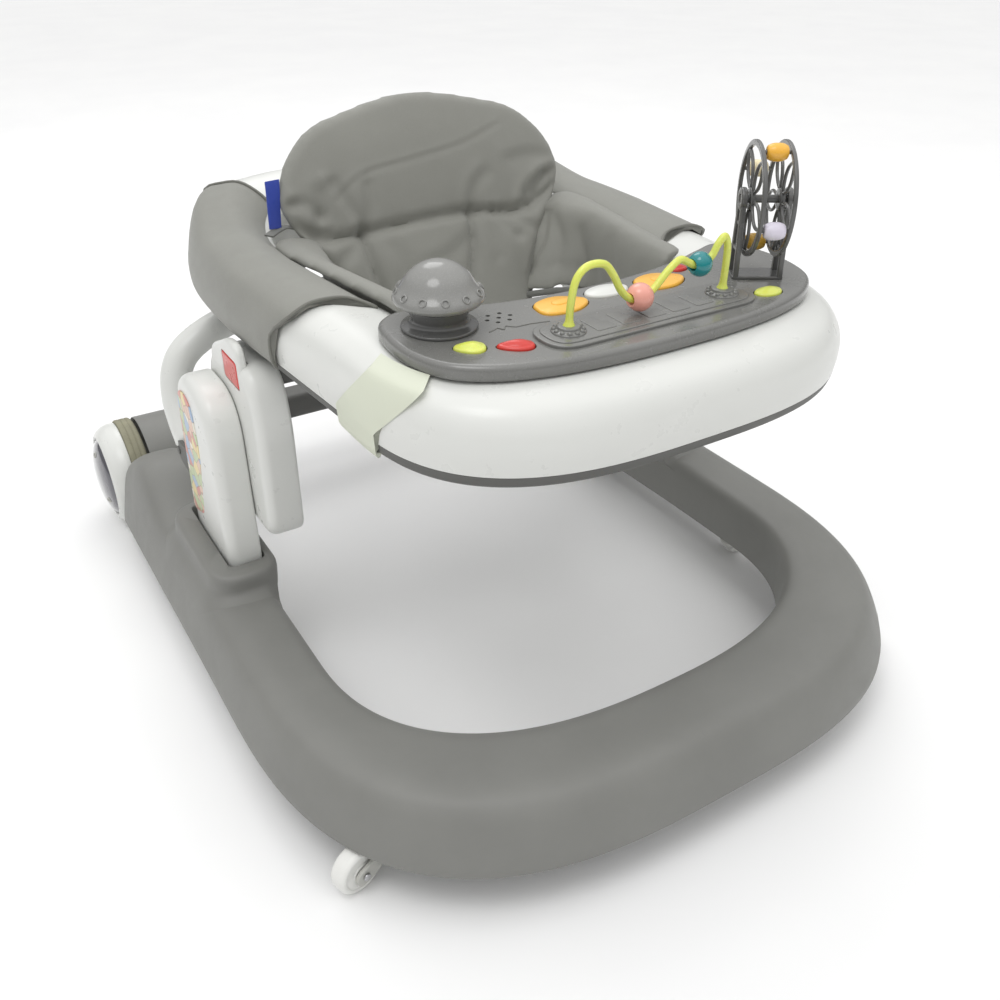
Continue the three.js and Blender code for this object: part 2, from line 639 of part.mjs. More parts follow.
// ---------- tray and toys ----------
const TRAY_OUTLINE = [[0, 109], [58, 111], [104, 118], [140, 131], [163, 150], [174, 178], [175, 212],
  [168, 238], [150, 249], [128, 243], [92, 231], [45, 222], [0, 220], [-45, 222], [-92, 231], [-128, 243],
  [-150, 249], [-168, 238], [-175, 212], [-174, 178], [-163, 150], [-140, 131], [-104, 118], [-58, 111]];

const oval = (x, y, rx, ry, turn = 0) => new THREE.Shape().absellipse(x, y, rx, ry, 0, 2 * PI, false, turn);

// Five-lobed button outline.
function blossom(x, y, r) {
  const points = [];
  for (let i = 0; i < 20; i += 1) {
    const angle = (i / 20) * 2 * PI;
    const reach = r * (1 + 0.13 * cos(5 * angle));
    points.push(new THREE.Vector2(x + reach * 1.15 * cos(angle), y + reach * 0.82 * sin(angle)));
  }
  return new THREE.Shape(points);
}

const TRAY_BUTTONS = {
  lime_left: { shape: (g) => oval(-136, 163, 11 + g, 8.5 + g), colour: 'lime' },
  red: { shape: (g) => oval(-108, 150, 13 + g, 8 + g), colour: 'red' },
  orange_left: { shape: (g) => blossom(-43, 195, 18 + g), colour: 'orange' },
  white: { shape: (g) => oval(3, 201, 19 + g, 11 + g), colour: 'white' },
  orange_right: { shape: (g) => blossom(50, 197, 18 + g), colour: 'orange' },
  small_red: { shape: (g) => oval(82, 212, 8 + g, 6 + g), colour: 'red' },
  lime_right: { shape: (g) => oval(106, 137, 12 + g, 8 + g), colour: 'lime' },
};

const SPEAKER = { x: -93, y: 199, pitch: 9, hole: 1.6 };
const DOME = { x: -136, y: 207 };
const WIRE_X = 69;
const WIRE_Y = 148;

function speakerHoles() {
  const holes = [barZ(SPEAKER.hole, SPEAKER.x, SPEAKER.y, 370, 400, 8)];
  for (let i = 0; i < 6; i += 1) {
    const angle = rad(60 * i);
    const x = SPEAKER.x + SPEAKER.pitch * cos(angle);
    const y = SPEAKER.y + SPEAKER.pitch * 0.8 * sin(angle);
    holes.push(barZ(SPEAKER.hole, x, y, 370, 400, 8));
  }
  return holes;
}

// The raised panel of the tray, with its keys and the two bosses that hold the bead wire.
function keyPanel() {
  const [half, r] = [92, 22];
  const shape = roundedShape([[-half, WIRE_Y - r, r], [half, WIRE_Y - r, r], [half, WIRE_Y + r, r],
    [-half, WIRE_Y + r, r]]);
  const keys = [];
  for (let i = 0; i < 5; i += 1) {
    const x = -44 + 22 * i;
    keys.push(slab(roundedShape([[x - 8, WIRE_Y - 11, 2], [x + 8, WIRE_Y - 11, 2], [x + 8, WIRE_Y + 11, 2],
      [x - 8, WIRE_Y + 11, 2]]), TRAY_TOP + 2, TRAY_TOP + 3.6, 0, 1));
  }
  const bosses = [-WIRE_X, WIRE_X].map((x) => barZ(11, x, WIRE_Y, TRAY_TOP + 2, TRAY_TOP + 7, 16));
  return join(slab(shape, TRAY_TOP - 1, TRAY_TOP + 3, 0.8, 6), ...keys, ...bosses);
}

function tray() {
  const wells = Object.values(TRAY_BUTTONS).map(({ shape }) => slab(shape(0.6), 370, 400, 0, 5));
  const feet = [-WIRE_X, WIRE_X].map((x) => barZ(3.2, x, WIRE_Y, TRAY_TOP + 3, TRAY_TOP + 20, 12));
  const board = join(slab(splineShape(TRAY_OUTLINE), TRAY_Z, TRAY_TOP, 3, 6, 1), keyPanel());
  return cut(board, ...wells, ...speakerHoles(), ...feet);
}

// The bead wire: from one boss up and over two humps and a dip to the other.
const WIRE = [[-69, 393], [-68, 412], [-64, 428], [-56, 434.5], [-42, 433.5], [-34, 425], [-26, 412],
  [-18, 405], [-9, 403], [1, 406.5], [16, 420], [25, 425], [33, 421.5], [40, 418.2], [48, 418], [55, 423],
  [60, 431], [65, 435], [68.5, 429], [69.5, 412], [69, 393]];
const WIRE_R = 2.7;
const BEADS = { pink: { x: -9, z: 404.2, r: 10, turn: 2 }, teal: { x: 44, z: 418.4, r: 9, turn: 0 } };

function beadWire() {
  return rod(WIRE.map(([x, z]) => [x, WIRE_Y, z]), WIRE_R, 52, 6);
}

// A ball with a hole along local Z, wide enough to slide over the bent wire.
function bead(r, hole = WIRE_R + 2.3) {
  const reach = sqrt(r * r - hole * hole);
  const ring = new THREE.Path().absarc(0, 0, r, Math.asin(-reach / r), Math.asin(reach / r), false);
  const points = ring.getPoints(4).map((p) => [p.x, p.y]);
  return turned([...points, points[0]], 14);
}

const DOME_CUP = [[0, 0.4], [24, 0.4], [24, 3], [20, 5], [19, 8], [22, 15], [0, 15]];
const DOME_TOP = [[0, 15.5], [22.5, 15.5], [29.5, 18.5], [32.3, 21.5], [31.5, 24.5], [26.5, 30], [21, 37.5],
  [13, 44], [6, 46.7], [0, 47]];

add('toy_tray', tray(), 'trayGrey', 0.25);
for (const [name, { shape, colour }] of Object.entries(TRAY_BUTTONS)) {
  const top = TRAY_TOP + BUTTON_TRAVEL + 1;
  add(`button_${name}`, slab(shape(0), TRAY_Z + BUTTON_TRAVEL + 0.8, top, 1.6, 5), colour, 0.3);
}
add('bead_wire', beadWire(), 'lime', 0.35);
for (const [name, { x, z, r, turn }] of Object.entries(BEADS)) {
  const ball = add(`wire_bead_${name}`, bead(r), name, 0.25);
  ball.position.set(x, WIRE_Y, z);
  ball.rotation.y = PI / 2 - rad(turn);
}
for (const [name, points, colour] of [['dome_cup', DOME_CUP, 'trimGrey'], ['dome_toy', DOME_TOP, 'trayGrey']]) {
  add(name, turned(points, 24), colour, 0.25).position.set(DOME.x, DOME.y, TRAY_TOP);
}

// ---------- ferris wheel ----------
const SPOKES = 5;
const BAR_R = 39;                      // radius on which the bead bars sit

// Everything here is made about local X, the wheel's axle.
function spokedRing(x0) {
  const rim = barX(FERRIS.r, x0, x0 + 3, 0, 0, 24);
  const parts = [cut(rim, barX(FERRIS.r - 4, x0 - 1, x0 + 4, 0, 0, 24)), barX(8, x0, x0 + 3, 0, 0, 12)];
  for (let i = 0; i < SPOKES; i += 1) {
    const spoke = box(x0, x0 + 3, -2, 2, 6, FERRIS.r - 3);
    parts.push(spoke.rotateX(rad((360 / SPOKES) * (i + 0.5))));
  }
  return join(...parts);
}

function ferrisBar(i) {
  const angle = rad(90 * i + 20);
  return [BAR_R * cos(angle), BAR_R * sin(angle)];
}

function ferrisRotor() {
  const { half } = FERRIS;
  const bars = [0, 1, 2, 3].map((i) => barX(1.5, -half + 1, half - 1, ...ferrisBar(i), 8));
  const rings = [spokedRing(-half), spokedRing(half - 3)];
  return join(...rings, ...bars, barX(3, -half - 6, half + 6, 0, 0, 12));
}

// Two legs on one foot plate, each with a bearing hole for the axle.
function ferrisStand() {
  const x0 = FERRIS.half + 2.5;
  const floor = TRAY_TOP + GAP - FERRIS.z;
  const shape = roundedShape([[-11, floor, 1], [11, floor, 1], [6, 4, 5], [-6, 4, 5]]);
  const leg = plateX(shape, x0, x0 + 4, 0);
  const foot = box(-x0 - 1, x0 + 1, -10, 10, floor, floor + 2);
  return cut(join(leg, mirrored(leg, SIDES.left), foot), barX(3.6, -x0 - 8, x0 + 8, 0, 0, 12));
}

function ferrisBead() {
  const profile = [[2.2, -8], [5, -6.5], [6.4, -2.5], [6.4, 2.5], [5, 6.5], [2.2, 8], [2.2, -8]];
  return turned(profile, 10).rotateY(PI / 2);
}

const ferris = new THREE.Group();
ferris.position.set(FERRIS.x, FERRIS.y, FERRIS.z);
ferris.rotation.z = rad(FERRIS.turn);
walker.add(ferris);
add('ferris_rotor', ferrisRotor(), 'darkToy', 0.35, 0, ferris);
add('ferris_stand', ferrisStand(), 'darkToy', 0.35, 0, ferris);
['pale', 'yellow', 'lilac', 'ochre'].forEach((colour, i) => {
  const [y, z] = ferrisBar(i);
  add(`ferris_bead_${colour}`, ferrisBead(), colour, 0.3, 0, ferris).position.set(0, y, z);
});

// ---------- soft seat ----------
const BACK_TILT = 24;

function backPad() {
  const shape = roundedShape([[-84, -130, 30], [84, -130, 30], [96, -45, 20], [126, 8, 20], [152, 42, 24],
    [140, 78, 30], [108, 112, 50], [0, 140, 110], [-108, 112, 50], [-140, 78, 30], [-152, 42, 24],
    [-126, 8, 20], [-96, -45, 20]]);
  const stand = new THREE.Matrix4().makeBasis(v3(1, 0, 0), v3(0, 0, 1), v3(0, -1, 0));
  return slab(shape, -12, 12, 5, 4, 2).applyMatrix4(stand);
}

// The pan the child sits on, with the narrow panel that rises in front between the legs.
function seatPan() {
  const shape = roundedShape([[-38, 240, 12], [38, 240, 12], [42, 320, 30], [104, 345, 30], [106, 402, 20],
    [-106, 402, 20], [-104, 345, 30], [-42, 320, 30]]);
  const riser = roundedShape([[240, 222, 4], [253, 222, 4], [253, 352, 4], [240, 352, 4]]);
  return join(slab(shape, 212, 232, 4, 4), plateX(riser, -34, 34, 2));
}

function sideWing() {
  const shape = roundedShape([[278, 340, 14], [300, 312, 18], [424, 306, 18], [441, 345, 12], [453, 384, 14],
    [278, 376, 12]]);
  return plateX(shape, -7, 7, 3);
}

const back = add('seat_back', backPad(), 'seatGrey', 0.7);
back.position.set(0, 462, 362);
back.rotation.x = rad(-BACK_TILT);
add('seat_pan', seatPan(), 'seatGrey', 0.7);
for (const [name, side] of Object.entries(SIDES)) {
  const wing = add(`side_wing_${name}`, sideWing(), 'seatGrey', 0.7);
  wing.position.set(side * 118, 0, 0);
}

// ---------- origin at the middle of the footprint ----------
walker.position.y = -(BASE_FRONT + AXLE_Y + WHEEL_R) / 2;
const model = new THREE.Group();
model.add(walker);

export default model;
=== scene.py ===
"""Looks of the baby walker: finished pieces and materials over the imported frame.

Lengths in the tables are millimetres, with y measured backwards from the front rim;
place() turns them into metres in the frame's own axes.
"""
from math import cos, pi, radians, sin, sqrt

import bmesh
import bpy
import numpy as np
from mathutils import Matrix, Vector


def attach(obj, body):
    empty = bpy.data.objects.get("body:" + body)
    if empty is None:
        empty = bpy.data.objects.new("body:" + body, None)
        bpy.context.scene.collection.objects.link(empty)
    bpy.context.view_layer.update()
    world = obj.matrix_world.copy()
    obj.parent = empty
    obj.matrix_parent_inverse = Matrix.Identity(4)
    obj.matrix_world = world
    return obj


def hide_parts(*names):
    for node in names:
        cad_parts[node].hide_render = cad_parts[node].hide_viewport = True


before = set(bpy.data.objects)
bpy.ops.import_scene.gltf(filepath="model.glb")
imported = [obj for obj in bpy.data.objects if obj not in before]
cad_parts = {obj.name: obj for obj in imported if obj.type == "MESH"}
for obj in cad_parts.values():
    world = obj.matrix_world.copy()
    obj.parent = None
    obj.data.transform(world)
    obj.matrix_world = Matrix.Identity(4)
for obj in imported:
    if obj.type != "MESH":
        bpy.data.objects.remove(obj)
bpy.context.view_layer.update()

FRONT_TO_ORIGIN = 386.5
SIDES = {"left": -1, "right": 1}


# ---------- numbers and curves ----------
def place(points):
    """Millimetres behind the front rim to metres in the frame."""
    moved = np.array(points, dtype=float)
    moved[..., 1] -= FRONT_TO_ORIGIN
    return moved / 1000.0


def lerp(a, b, t):
    return a + (b - a) * t


def smooth(lo, hi, v):
    t = np.clip((v - lo) / (hi - lo), 0.0, 1.0)
    return t * t * (3 - 2 * t)


def spline(points, per_segment=8, closed=False):
    """Centripetal Catmull-Rom curve through the points."""
    p = np.array(points, dtype=float)
    n = len(p)
    if closed:
        p = np.vstack([p[-1], p, p[0], p[1]])
    else:
        p = np.vstack([2 * p[0] - p[1], p, 2 * p[-1] - p[-2]])
    out = []
    for i in range(1, n + (1 if closed else 0)):
        p0, p1, p2, p3 = p[i - 1:i + 3]
        d = [max(np.linalg.norm(b - a), 1e-9) ** 0.5 for a, b in ((p0, p1), (p1, p2), (p2, p3))]
        m1 = (p1 - p0) / d[0] - (p2 - p0) / (d[0] + d[1]) + (p2 - p1) / d[1]
        m2 = (p2 - p1) / d[1] - (p3 - p1) / (d[1] + d[2]) + (p3 - p2) / d[2]
        m1, m2 = m1 * d[1], m2 * d[1]
        for k in range(per_segment):
            t = k / per_segment
            t2, t3 = t * t, t * t * t
            out.append((2 * t3 - 3 * t2 + 1) * p1 + (t3 - 2 * t2 + t) * m1
                       + (3 * t2 - 2 * t3) * p2 + (t3 - t2) * m2)
    if not closed:
        out.append(p[-2])
    return np.array(out)


def rounded(corners, steps=6, closed=True):
    """Outline through corner points [a, b, reach], each rounded back by up to its reach."""
    out = []
    count = len(corners)
    for i, (a, b, reach) in enumerate(corners):
        here = np.array([a, b], dtype=float)
        if not closed and i in (0, count - 1):
            out.append(here)
            continue
        before = np.array(corners[i - 1][:2], dtype=float) - here
        after = np.array(corners[(i + 1) % count][:2], dtype=float) - here
        reach = min(reach, 0.48 * np.linalg.norm(before), 0.48 * np.linalg.norm(after))
        if reach <= 0:
            out.append(here)
            continue
        start = here + before / np.linalg.norm(before) * reach
        end = here + after / np.linalg.norm(after) * reach
        for k in range(steps + 1):
            t = k / steps
            out.append((1 - t) ** 2 * start + 2 * t * (1 - t) * here + t * t * end)
    return np.array(out)


def dense(outline, longest):
    """The closed outline with no edge longer than this."""
    out = []
    for a, b in zip(outline, np.roll(outline, -1, axis=0)):
        count = max(1, int(np.ceil(np.linalg.norm(b - a) / longest)))
        out += [lerp(a, b, k / count) for k in range(count)]
    return np.array(out)


def oval(a, b, ra, rb, turn=0.0, count=48):
    """An ellipse round (a, b) with radii ra and rb, turned anticlockwise."""
    t = np.linspace(0, 2 * pi, count, endpoint=False)
    x, y = ra * np.cos(t), rb * np.sin(t)
    return np.stack([a + x * cos(turn) - y * sin(turn), b + x * sin(turn) + y * cos(turn)], axis=1)


def area(outline):
    """Area inside an outline, negative when it runs clockwise."""
    x, y = outline[:, 0], outline[:, 1]
    return 0.5 * np.sum(x * np.roll(y, -1) - np.roll(x, -1) * y)


def other_half(rows):
    """Rows that start with x, mirrored to the left side and in reverse order."""
    return [[-row[0], *row[1:]] for row in rows[::-1]]


def oblong(a0, a1, b0, b1, reach, steps):
    """A rectangle between the given sides, with rounded corners."""
    return rounded([[a0, b0, reach], [a1, b0, reach], [a1, b1, reach], [a0, b1, reach]], steps)


def inset(outline, distance):
    """Outline moved inwards by this distance; it runs anticlockwise."""
    ahead = np.roll(outline, -1, axis=0) - outline
    behind = outline - np.roll(outline, 1, axis=0)
    normals = [np.stack([-e[:, 1], e[:, 0]], axis=1) / np.maximum(np.linalg.norm(e, axis=1), 1e-9)[:, None]
               for e in (ahead, behind)]
    total = normals[0] + normals[1]
    length = np.maximum(np.linalg.norm(total, axis=1), 0.6)[:, None]
    return outline + total / length * distance * np.minimum(2 / length, 1.3)


# ---------- meshes ----------
def quads(rings, around=True, closed=False):
    """Faces of a grid of rings: around joins each ring's ends, closed joins the last ring to the first."""
    count = len(rings[0])
    faces = []
    for i in range(len(rings) if closed else len(rings) - 1):
        a, b = i * count, ((i + 1) % len(rings)) * count
        for j in range(count if around else count - 1):
            k = (j + 1) % count
            faces.append((a + j, a + k, b + k, b + j))
    return faces


def merge(*meshes):
    """One (vertices, faces) from several."""
    verts, faces, start = [], [], 0
    for v, f in meshes:
        verts.append(np.asarray(v, dtype=float))
        faces += [tuple(i + start for i in face) for face in f]
        start += len(v)
    return np.vstack(verts), faces


def loft(rings, closed=False, caps=True):
    """A skin over rings of equal length, capped at both ends unless it closes on itself."""
    faces = quads(rings, closed=closed)
    count = len(rings[0])
    if caps and not closed:
        faces.append(tuple(reversed(range(count))))
        faces.append(tuple((len(rings) - 1) * count + j for j in range(count)))
    return np.vstack(rings), faces


AXES = {
    "x": lambda a, b, t: np.stack([t, a, b], axis=-1),
    "y": lambda a, b, t: np.stack([a, t, b], axis=-1),
    "z": lambda a, b, t: np.stack([a, b, t], axis=-1),
}


def plate(outline, t0, t1, r0=1.0, r1=1.0, axis="z", dome0=0.0, dome1=0.0, flat=False, steps=5):
    """A plate between t0 and t1 along an axis, with rounded rims and, if asked, crowned faces."""
    if area(outline) < 0:
        outline = outline[::-1]
    put = AXES[axis]
    rings = []

    def ring(shape, t):
        rings.append(put(shape[:, 0], shape[:, 1], np.broadcast_to(t, len(shape)).astype(float)))

    def face(shape, t, dome, order):
        centre = shape.mean(axis=0)
        for k in order:
            ring(lerp(centre, shape, k), t + dome * (1 - k * k))

    inner0, inner1 = inset(outline, r0), inset(outline, r1)
    crowned = [0.02, 0.25, 0.5, 0.75, 0.9]
    if not flat:
        face(inner0, t0, -dome0, crowned)
    for k in range(steps + 1):
        angle = k / steps * pi / 2
        ring(inset(outline, r0 * (1 - sin(angle))), t0 + r0 * (1 - cos(angle)))
    for k in range(steps + 1):
        angle = k / steps * pi / 2
        ring(inset(outline, r1 * (1 - cos(angle))), t1 - r1 * (1 - sin(angle)))
    if not flat:
        face(inner1, t1, dome1, crowned[::-1])
    return loft(rings)


def turned(profile, count=64, axis=((0, 0, 0), (0, 0, 1)), closed=True):
    """A turned piece from [radius, height] points about an axis through a point."""
    origin, direction = (np.array(v, dtype=float) for v in axis)
    direction /= np.linalg.norm(direction)
    helper = np.array([0, 0, 1.0]) if abs(direction[2]) < 0.9 else np.array([1.0, 0, 0])
    u = np.cross(helper, direction)
    u /= np.linalg.norm(u)
    v = np.cross(direction, u)
    rings = []
    for k in range(count):
        angle = 2 * pi * k / count
        out = cos(angle) * u + sin(angle) * v
        rings.append(np.array([origin + max(r, 1e-3) * out + h * direction for r, h in profile]))
    return np.vstack(rings), quads(rings, around=closed, closed=True)


def solid_turned(corners, steps, count, axis=((0, 0, 0), (0, 0, 1))):
    """A solid of revolution whose rounded profile starts and ends on the axis."""
    return turned(rounded(corners, steps, closed=False), count, axis, closed=False)


def tube(path, radius, sides):
    """A round tube along a path, with rounded ends; radius is one number or one for each point."""
    path = np.asarray(path, dtype=float)
    radii = np.broadcast_to(np.asarray(radius, dtype=float), len(path))
    tangent = np.gradient(path, axis=0)
    tangent /= np.linalg.norm(tangent, axis=1)[:, None]
    normal = np.cross(tangent[0], [0, 0, 1.0] if abs(tangent[0][2]) < 0.9 else [1.0, 0, 0])
    rings = []
    for p, t, r in zip(path, tangent, radii):
        normal = normal - t * np.dot(normal, t)
        normal /= np.linalg.norm(normal)
        other = np.cross(t, normal)
        angle = np.linspace(0, 2 * pi, sides, endpoint=False)[:, None]
        rings.append(p + r * (np.cos(angle) * normal + np.sin(angle) * other))
    return loft(round_end(rings, 0) + rings + round_end(rings, -1)[::-1])


def round_end(rings, which):
    """Shrinking rings that round off one end of a tube, from its tip inwards."""
    ring = rings[which]
    centre = ring.mean(axis=0)
    out = centre - rings[1 if which == 0 else -2].mean(axis=0)
    out /= np.linalg.norm(out)
    radius = np.linalg.norm(ring[0] - centre)
    caps = []
    for k in (0.05, 0.35, 0.65, 0.9):
        caps.append(centre + (ring - centre) * k + out * radius * 0.6 * sqrt(1 - k * k))
    return caps


def face_outwards(mesh, weld=None):
    """Join points closer than weld, if given, and turn every face outwards."""
    bm = bmesh.new()
    bm.from_mesh(mesh)
    if weld:
        bmesh.ops.remove_doubles(bm, verts=bm.verts, dist=weld)
    bmesh.ops.recalc_face_normals(bm, faces=bm.faces)
    bm.to_mesh(mesh)
    bm.free()


def piece(name, geometry, body, material, replaces=(), sharp=40):
    """A finished object from (vertices, faces) in millimetres, riding on a body."""
    verts, faces = geometry
    mesh = bpy.data.meshes.new(name)
    mesh.from_pydata(place(verts).tolist(), [], [tuple(f) for f in faces])
    mesh.validate()
    face_outwards(mesh, weld=1e-7)
    mesh.shade_smooth()
    mesh.set_sharp_from_angle(angle=radians(sharp))
    obj = bpy.data.objects.new(name, mesh)
    bpy.context.scene.collection.objects.link(obj)
    finish_slot, look = material
    mesh.materials.append(look)
    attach(obj, body)
    if replaces:
        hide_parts(*replaces)
    return obj


def mirrored(geometry, side):
    """The right-hand shape as it is (side 1) or mirrored to the left (side -1)."""
    verts, faces = geometry
    if side > 0:
        return verts, faces
    return verts * np.array([-1, 1, 1]), [tuple(reversed(f)) for f in faces]


def helper_object(verts, faces):
    """A short-lived object from millimetre points, for a modifier to work on."""
    mesh = bpy.data.meshes.new("helper")
    mesh.from_pydata((np.asarray(verts) / 1000).tolist(), [], [tuple(f) for f in faces])
    mesh.validate()
    obj = bpy.data.objects.new("helper", mesh)
    bpy.context.scene.collection.objects.link(obj)
    return obj


def applied(obj):
    """Replace the object's mesh by its modified one, and give back its points and faces."""
    depsgraph = bpy.context.evaluated_depsgraph_get()
    old = obj.data
    obj.data = bpy.data.meshes.new_from_object(obj.evaluated_get(depsgraph))
    obj.modifiers.clear()
    bpy.data.meshes.remove(old)
    return points_of(obj.data)


def points_of(mesh):
    """The points of a mesh as an array, and its faces."""
    co = np.empty(len(mesh.vertices) * 3)
    mesh.vertices.foreach_get("co", co)
    return co.reshape(-1, 3), [tuple(p.vertices) for p in mesh.polygons]


def carve(geometry, *cutters):
    """The geometry with the cutters taken away."""
    scratch = []
    for verts, faces in (geometry, merge(*cutters)):
        mesh = bpy.data.meshes.new("scratch")
        mesh.from_pydata(np.asarray(verts).tolist(), [], [tuple(f) for f in faces])
        face_outwards(mesh)
        obj = bpy.data.objects.new("scratch", mesh)
        bpy.context.scene.collection.objects.link(obj)
        scratch.append(obj)
    cut = scratch[0].modifiers.new("cut", "BOOLEAN")
    cut.operation = "DIFFERENCE"
    cut.solver = "EXACT"
    cut.object = scratch[1]
    result = applied(scratch[0])
    for obj in scratch:
        bpy.data.objects.remove(obj)
    return result


# ---------- materials ----------
def srgb(*channels):
    """Linear colour from 0-255 display values."""
    scaled = [c / 255 for c in channels]
    return tuple(c / 12.92 if c <= 0.04045 else ((c + 0.055) / 1.055) ** 2.4 for c in scaled) + (1.0,)


class Look:
    """A node material with the few joints that every finish here needs."""

    def __init__(self, name):
        self.material = bpy.data.materials.new(name)
        self.material.use_nodes = True
        self.tree = self.material.node_tree
        self.shader = self.tree.nodes["Principled BSDF"]
        self.place = self.add("ShaderNodeTexCoord").outputs["Object"]

    def add(self, kind, **settings):
        """A new node of this kind."""
        node = self.tree.nodes.new(kind)
        for key, value in settings.items():
            setattr(node, key, value)
        return node

    def link(self, source, node, socket):
        self.tree.links.new(source, node.inputs[socket])

    def noise(self, scale, detail=3.0, rough=0.55, stretch=None):
        """Noise from 0 to 1, drawn out along an axis by stretch."""
        node = self.add("ShaderNodeTexNoise")
        node.inputs["Scale"].default_value = scale
        node.inputs["Detail"].default_value = detail
        node.inputs["Roughness"].default_value = rough
        self.link(self.stretched(stretch) if stretch else self.place, node, "Vector")
        return node.outputs["Fac"]

    def stretched(self, factors):
        node = self.add("ShaderNodeMapping")
        node.inputs["Scale"].default_value = factors
        self.link(self.place, node, "Vector")
        return node.outputs["Vector"]

    def cell_edges(self, scale):
        """Distance to the nearest border between random cells."""
        node = self.add("ShaderNodeTexVoronoi", feature="DISTANCE_TO_EDGE")
        node.inputs["Scale"].default_value = scale
        self.link(self.place, node, "Vector")
        return node.outputs["Distance"]

    def ramp(self, source, lo, hi, out_lo=0.0, out_hi=1.0):
        """The source's range lo to hi spread over out_lo to out_hi."""
        node = self.add("ShaderNodeMapRange")
        for key, value in (("From Min", lo), ("From Max", hi), ("To Min", out_lo), ("To Max", out_hi)):
            node.inputs[key].default_value = value
        self.link(source, node, "Value")
        return node.outputs["Result"]

    def mix(self, share, a, b):
        """Two colours, each a value or a node output, mixed by a node output."""
        factor, colour_a, colour_b, result = 0, 6, 7, 2
        node = self.add("ShaderNodeMix", data_type="RGBA")
        for socket, value in ((colour_a, a), (colour_b, b)):
            if isinstance(value, tuple):
                node.inputs[socket].default_value = value
            else:
                self.link(value, node, socket)
        self.link(share, node, factor)
        return node.outputs[result]

    def bump(self, height, strength, distance, before=None):
        """Surface relief from a height, on top of an earlier relief."""
        node = self.add("ShaderNodeBump")
        node.inputs["Strength"].default_value = strength
        node.inputs["Distance"].default_value = distance
        self.link(height, node, "Height")
        if before is not None:
            self.link(before, node, "Normal")
        return node.outputs["Normal"]

    def set(self, **values):
        """Fixed inputs of the shader, with _ for a space in their names."""
        for key, value in values.items():
            self.shader.inputs[key.replace("_", " ")].default_value = value

    def finish(self, colour, rough, normal):
        self.link(colour, self.shader, "Base Color")
        self.link(rough, self.shader, "Roughness")
        self.link(normal, self.shader, "Normal")


def shade(colour, factor):
    """The colour made darker or lighter by a factor."""
    return tuple(min(c * factor, 1.0) for c in colour[:3]) + (1.0,)


def plastic(slot, colour, rough, grain=0.12, grain_scale=900, mottle=0.05, wear=0.12, peel=0.04, **shader):
    """Moulded plastic: slow colour drift, fine moulded grain, faint orange peel and paler worn edges."""
    look = Look(slot)
    drift = look.ramp(look.noise(14, 4), 0.3, 0.7)
    base = look.mix(drift, shade(colour, 1 - mottle), shade(colour, 1 + mottle))
    edge = look.ramp(look.add("ShaderNodeNewGeometry").outputs["Pointiness"], 0.53, 0.62, 0.0, wear)
    base = look.mix(edge, base, shade(colour, 1.35))
    patchy = look.ramp(look.noise(55, 5), 0.25, 0.75, rough - 0.05, rough + 0.06)
    peel_normal = look.bump(look.noise(160, 2), peel, 0.0006)
    normal = look.bump(look.noise(grain_scale, 2, 0.6), grain, 0.00025, peel_normal)
    look.finish(base, patchy, normal)
    look.set(**shader)
    return slot, look.material


def coated_cloth(slot, colour):
    """Coated seat cloth: pebbled grain, small creases, soft sheen and a slightly uneven tone."""
    look = Look(slot)
    tone = look.ramp(look.noise(9, 5), 0.3, 0.7)
    base = look.mix(tone, shade(colour, 0.94), shade(colour, 1.05))
    cells = look.cell_edges(1300)
    base = look.mix(look.ramp(cells, 0.0, 0.12, 0.35, 0.0), base, shade(colour, 0.72))
    rough = look.ramp(look.noise(70, 4), 0.3, 0.7, 0.5, 0.62)
    creases = look.bump(look.noise(26, 3, 0.5), 0.08, 0.003)
    fine = look.bump(look.noise(210, 4, 0.6), 0.08, 0.0008, creases)
    pebble = look.bump(look.ramp(cells, 0.0, 0.25), 0.35, 0.0003, fine)
    look.finish(base, rough, pebble)
    look.set(Sheen_Weight=0.25, Sheen_Roughness=0.45)
    return slot, look.material


def webbing(slot, colour, pitch=900):
    """Woven tape: crossing ribs with a dull thread sheen."""
    look = Look(slot)
    ribs = look.add("ShaderNodeTexWave", bands_direction="DIAGONAL")
    ribs.inputs["Scale"].default_value = pitch
    ribs.inputs["Distortion"].default_value = 0.6
    look.link(look.place, ribs, "Vector")
    base = look.mix(look.ramp(ribs.outputs["Fac"], 0, 1), shade(colour, 0.75), shade(colour, 1.1))
    rough = look.ramp(look.noise(300, 3), 0.3, 0.7, 0.65, 0.8)
    look.finish(base, rough, look.bump(ribs.outputs["Fac"], 0.5, 0.0003))
    look.set(Sheen_Weight=0.3)
    return slot, look.material


def flecked(slot, colour, rough):
    """Glossy grey plastic with fine pale flecks."""
    look = Look(slot)
    drift = look.mix(look.ramp(look.noise(12, 3), 0.3, 0.7), shade(colour, 0.95), shade(colour, 1.05))
    specks = look.ramp(look.noise(2600, 1, 0.4), 0.6, 0.72, 0.0, 0.35)
    base = look.mix(specks, drift, shade(colour, 2.1))
    roughness = look.ramp(look.noise(60, 4), 0.3, 0.7, rough - 0.04, rough + 0.06)
    normal = look.bump(look.noise(1500, 2), 0.08, 0.0002, look.bump(look.noise(120, 2), 0.03, 0.0008))
    look.finish(base, roughness, normal)
    look.set(Coat_Weight=0.35, Coat_Roughness=0.12)
    return slot, look.material


def rubber(slot, colour):
    """Dull rubber: dusty, with a fine granular skin and scuffs."""
    look = Look(slot)
    dust = look.ramp(look.noise(40, 6, 0.65), 0.4, 0.75)
    base = look.mix(dust, shade(colour, 0.88), shade(colour, 1.12))
    rough = look.ramp(look.noise(120, 4), 0.3, 0.7, 0.7, 0.88)
    normal = look.bump(look.noise(1400, 3), 0.3, 0.0003, look.bump(look.noise(90, 4), 0.1, 0.0008))
    look.finish(base, rough, normal)
    return slot, look.material


